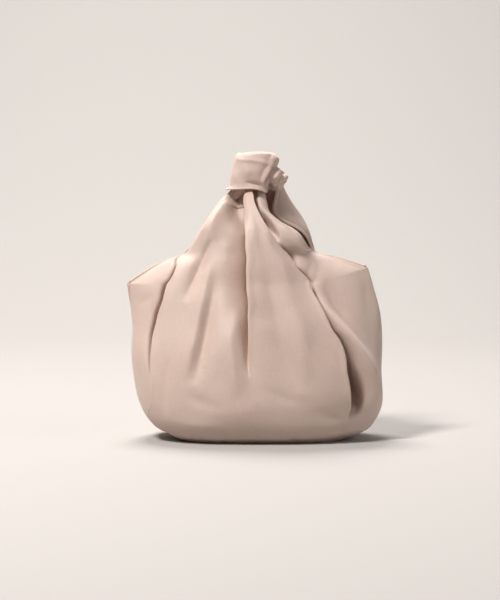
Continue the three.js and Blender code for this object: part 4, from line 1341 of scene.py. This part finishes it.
# %% Paper sweep
SWEEP_FRONT, SWEEP_START, SWEEP_RADIUS, SWEEP_WIDTH, SWEEP_TOP = -3000.0, 900.0, 900.0, 3000.0, 2600.0
bend = np.radians(np.linspace(0, 90, 33))
profile = [(SWEEP_FRONT, 0.0)]
profile += [(SWEEP_START + SWEEP_RADIUS * math.sin(a), SWEEP_RADIUS * (1 - math.cos(a))) for a in bend]
profile.append((SWEEP_START + SWEEP_RADIUS, SWEEP_TOP))
points = [(side * SWEEP_WIDTH, y, z) for y, z in profile for side in (-1, 1)]
faces = [(2 * k, 2 * k + 1, 2 * k + 3, 2 * k + 2) for k in range(len(profile) - 1)]
backdrop = mesh_object("studio_sweep", points, faces)
paper, nodes = new_material("paper")
grain = nodes.noise(nodes.add("ShaderNodeTexCoord").outputs["Object"], 900, 2.0)
colour = nodes.colour_mix(grain, (0.450, 0.425, 0.405, 1), (0.470, 0.445, 0.425, 1))
shader = nodes.add("ShaderNodeBsdfPrincipled", {
    "Base Color": colour, "Roughness": 0.9, "Specular IOR Level": 0.1})
nodes.add("ShaderNodeOutputMaterial", {"Surface": shader.outputs["BSDF"]})
backdrop.data.materials.append(paper)
backdrop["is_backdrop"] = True
print("paper sweep", len(faces), "faces")

# %% [markdown]
# The light. The photograph's main light is large and high at the left, and what comes
# back from the room softens the shadows. A sky image would light the bag too, but with
# less say in where the folds go dark. Four round area lights do it: a key, a weak fill, a
# top light behind the bag and one for the paper.

# %% Lights
def area_light(name, place, target, size, power, colour=(1, 1, 1)):
    data = bpy.data.lights.new(name, "AREA")
    data.shape = "DISK"
    data.size = size
    data.energy = power
    data.color = colour
    light = bpy.data.objects.new(name, data)
    light.location = place
    direction = Vector(target) - Vector(place)
    light.rotation_euler = direction.to_track_quat("-Z", "Y").to_euler()
    bpy.context.scene.collection.objects.link(light)


WARM = (1.0, 0.985, 0.965)
area_light("key", (-0.96, -1.00, 1.98), (0, 0, 0.14), size=0.55, power=60, colour=WARM)
area_light("fill", (1.9, -0.9, 1.2), (0, 0, 0.14), size=1.2, power=8)
area_light("top", (-0.25, 0.75, 1.9), (0, 0, 0.1), size=0.8, power=35, colour=WARM)
area_light("backdrop", (0.0, 0.9, 2.2), (0, 2.0, 0.3), size=1.4, power=17)
print("lights", {light.name: light.energy for light in bpy.data.lights})

# %% [markdown]
# The room round the paper. Past the sheet's edges a real studio has walls, which the
# camera and the satin's sheen see. A picture of a room could stand there, but it would
# light the folds from all sides. So the world is a pale wall to the camera and in
# reflections, and only a weak glow to the cloth's own shading.

# %% World
world = bpy.data.worlds.new("studio")
world.use_nodes = True
nodes = Nodes(world.node_tree)
room = nodes.add("ShaderNodeBackground", {"Color": (1.0, 0.975, 0.95, 1), "Strength": 0.05}).outputs[0]
wall = nodes.add("ShaderNodeBackground", {"Color": (0.78, 0.74, 0.70, 1), "Strength": 1.0}).outputs[0]
ray = nodes.add("ShaderNodeLightPath").outputs
looking = ray["Is Camera Ray"]
for kind in ("Is Glossy Ray", "Is Transmission Ray"):
    looking = nodes.maths("MAXIMUM", looking, ray[kind])
seen = nodes.add("ShaderNodeMixShader", {0: looking, 1: room, 2: wall}).outputs[0]
nodes.add("ShaderNodeOutputWorld", {"Surface": seen})
bpy.context.scene.world = world
bpy.context.scene.view_settings.view_transform = "Standard"
print("world", len(world.node_tree.nodes), "nodes")

# %% [markdown]
# The pieces and the solids. The model moves as one body. The packed model's solids that the pieces take
# the place of are hidden, found by their names, and every piece is attached to the body that it rides
# on.

# %% Riding, and hiding the solids
for name, data in panels.items():
    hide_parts(f"{name}_panel")
    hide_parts(f"{name}_lining")
for (name, side), hem in hems.items():
    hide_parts(f"{name}_{side}_binding")
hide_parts("base_panel")
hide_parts("base_lining")
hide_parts("knot_band")
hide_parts("front_ear_end")
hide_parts("back_ear_twist")
for piece in satin_pieces + list(stitching.values()):
    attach(piece, "root")
for piece in lining_pieces:
    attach(piece, "root")

print("pieces", len(satin_pieces) + len(lining_pieces) + len(stitching))

# %% [markdown]
# Cloth is cut flat and gathered when it is sewn.

# %% [markdown]
# Last, the bag is measured again. Its box should stay that of the packed model, give or
# take the height of a fold. A look at it could miss a stray point far away; two boxes
# side by side can't.

# %% Sizes and finish
{"cad": cad_box, "visual": [list(corner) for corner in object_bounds()]}
print("sizes", cad_box, [list(corner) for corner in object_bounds()])
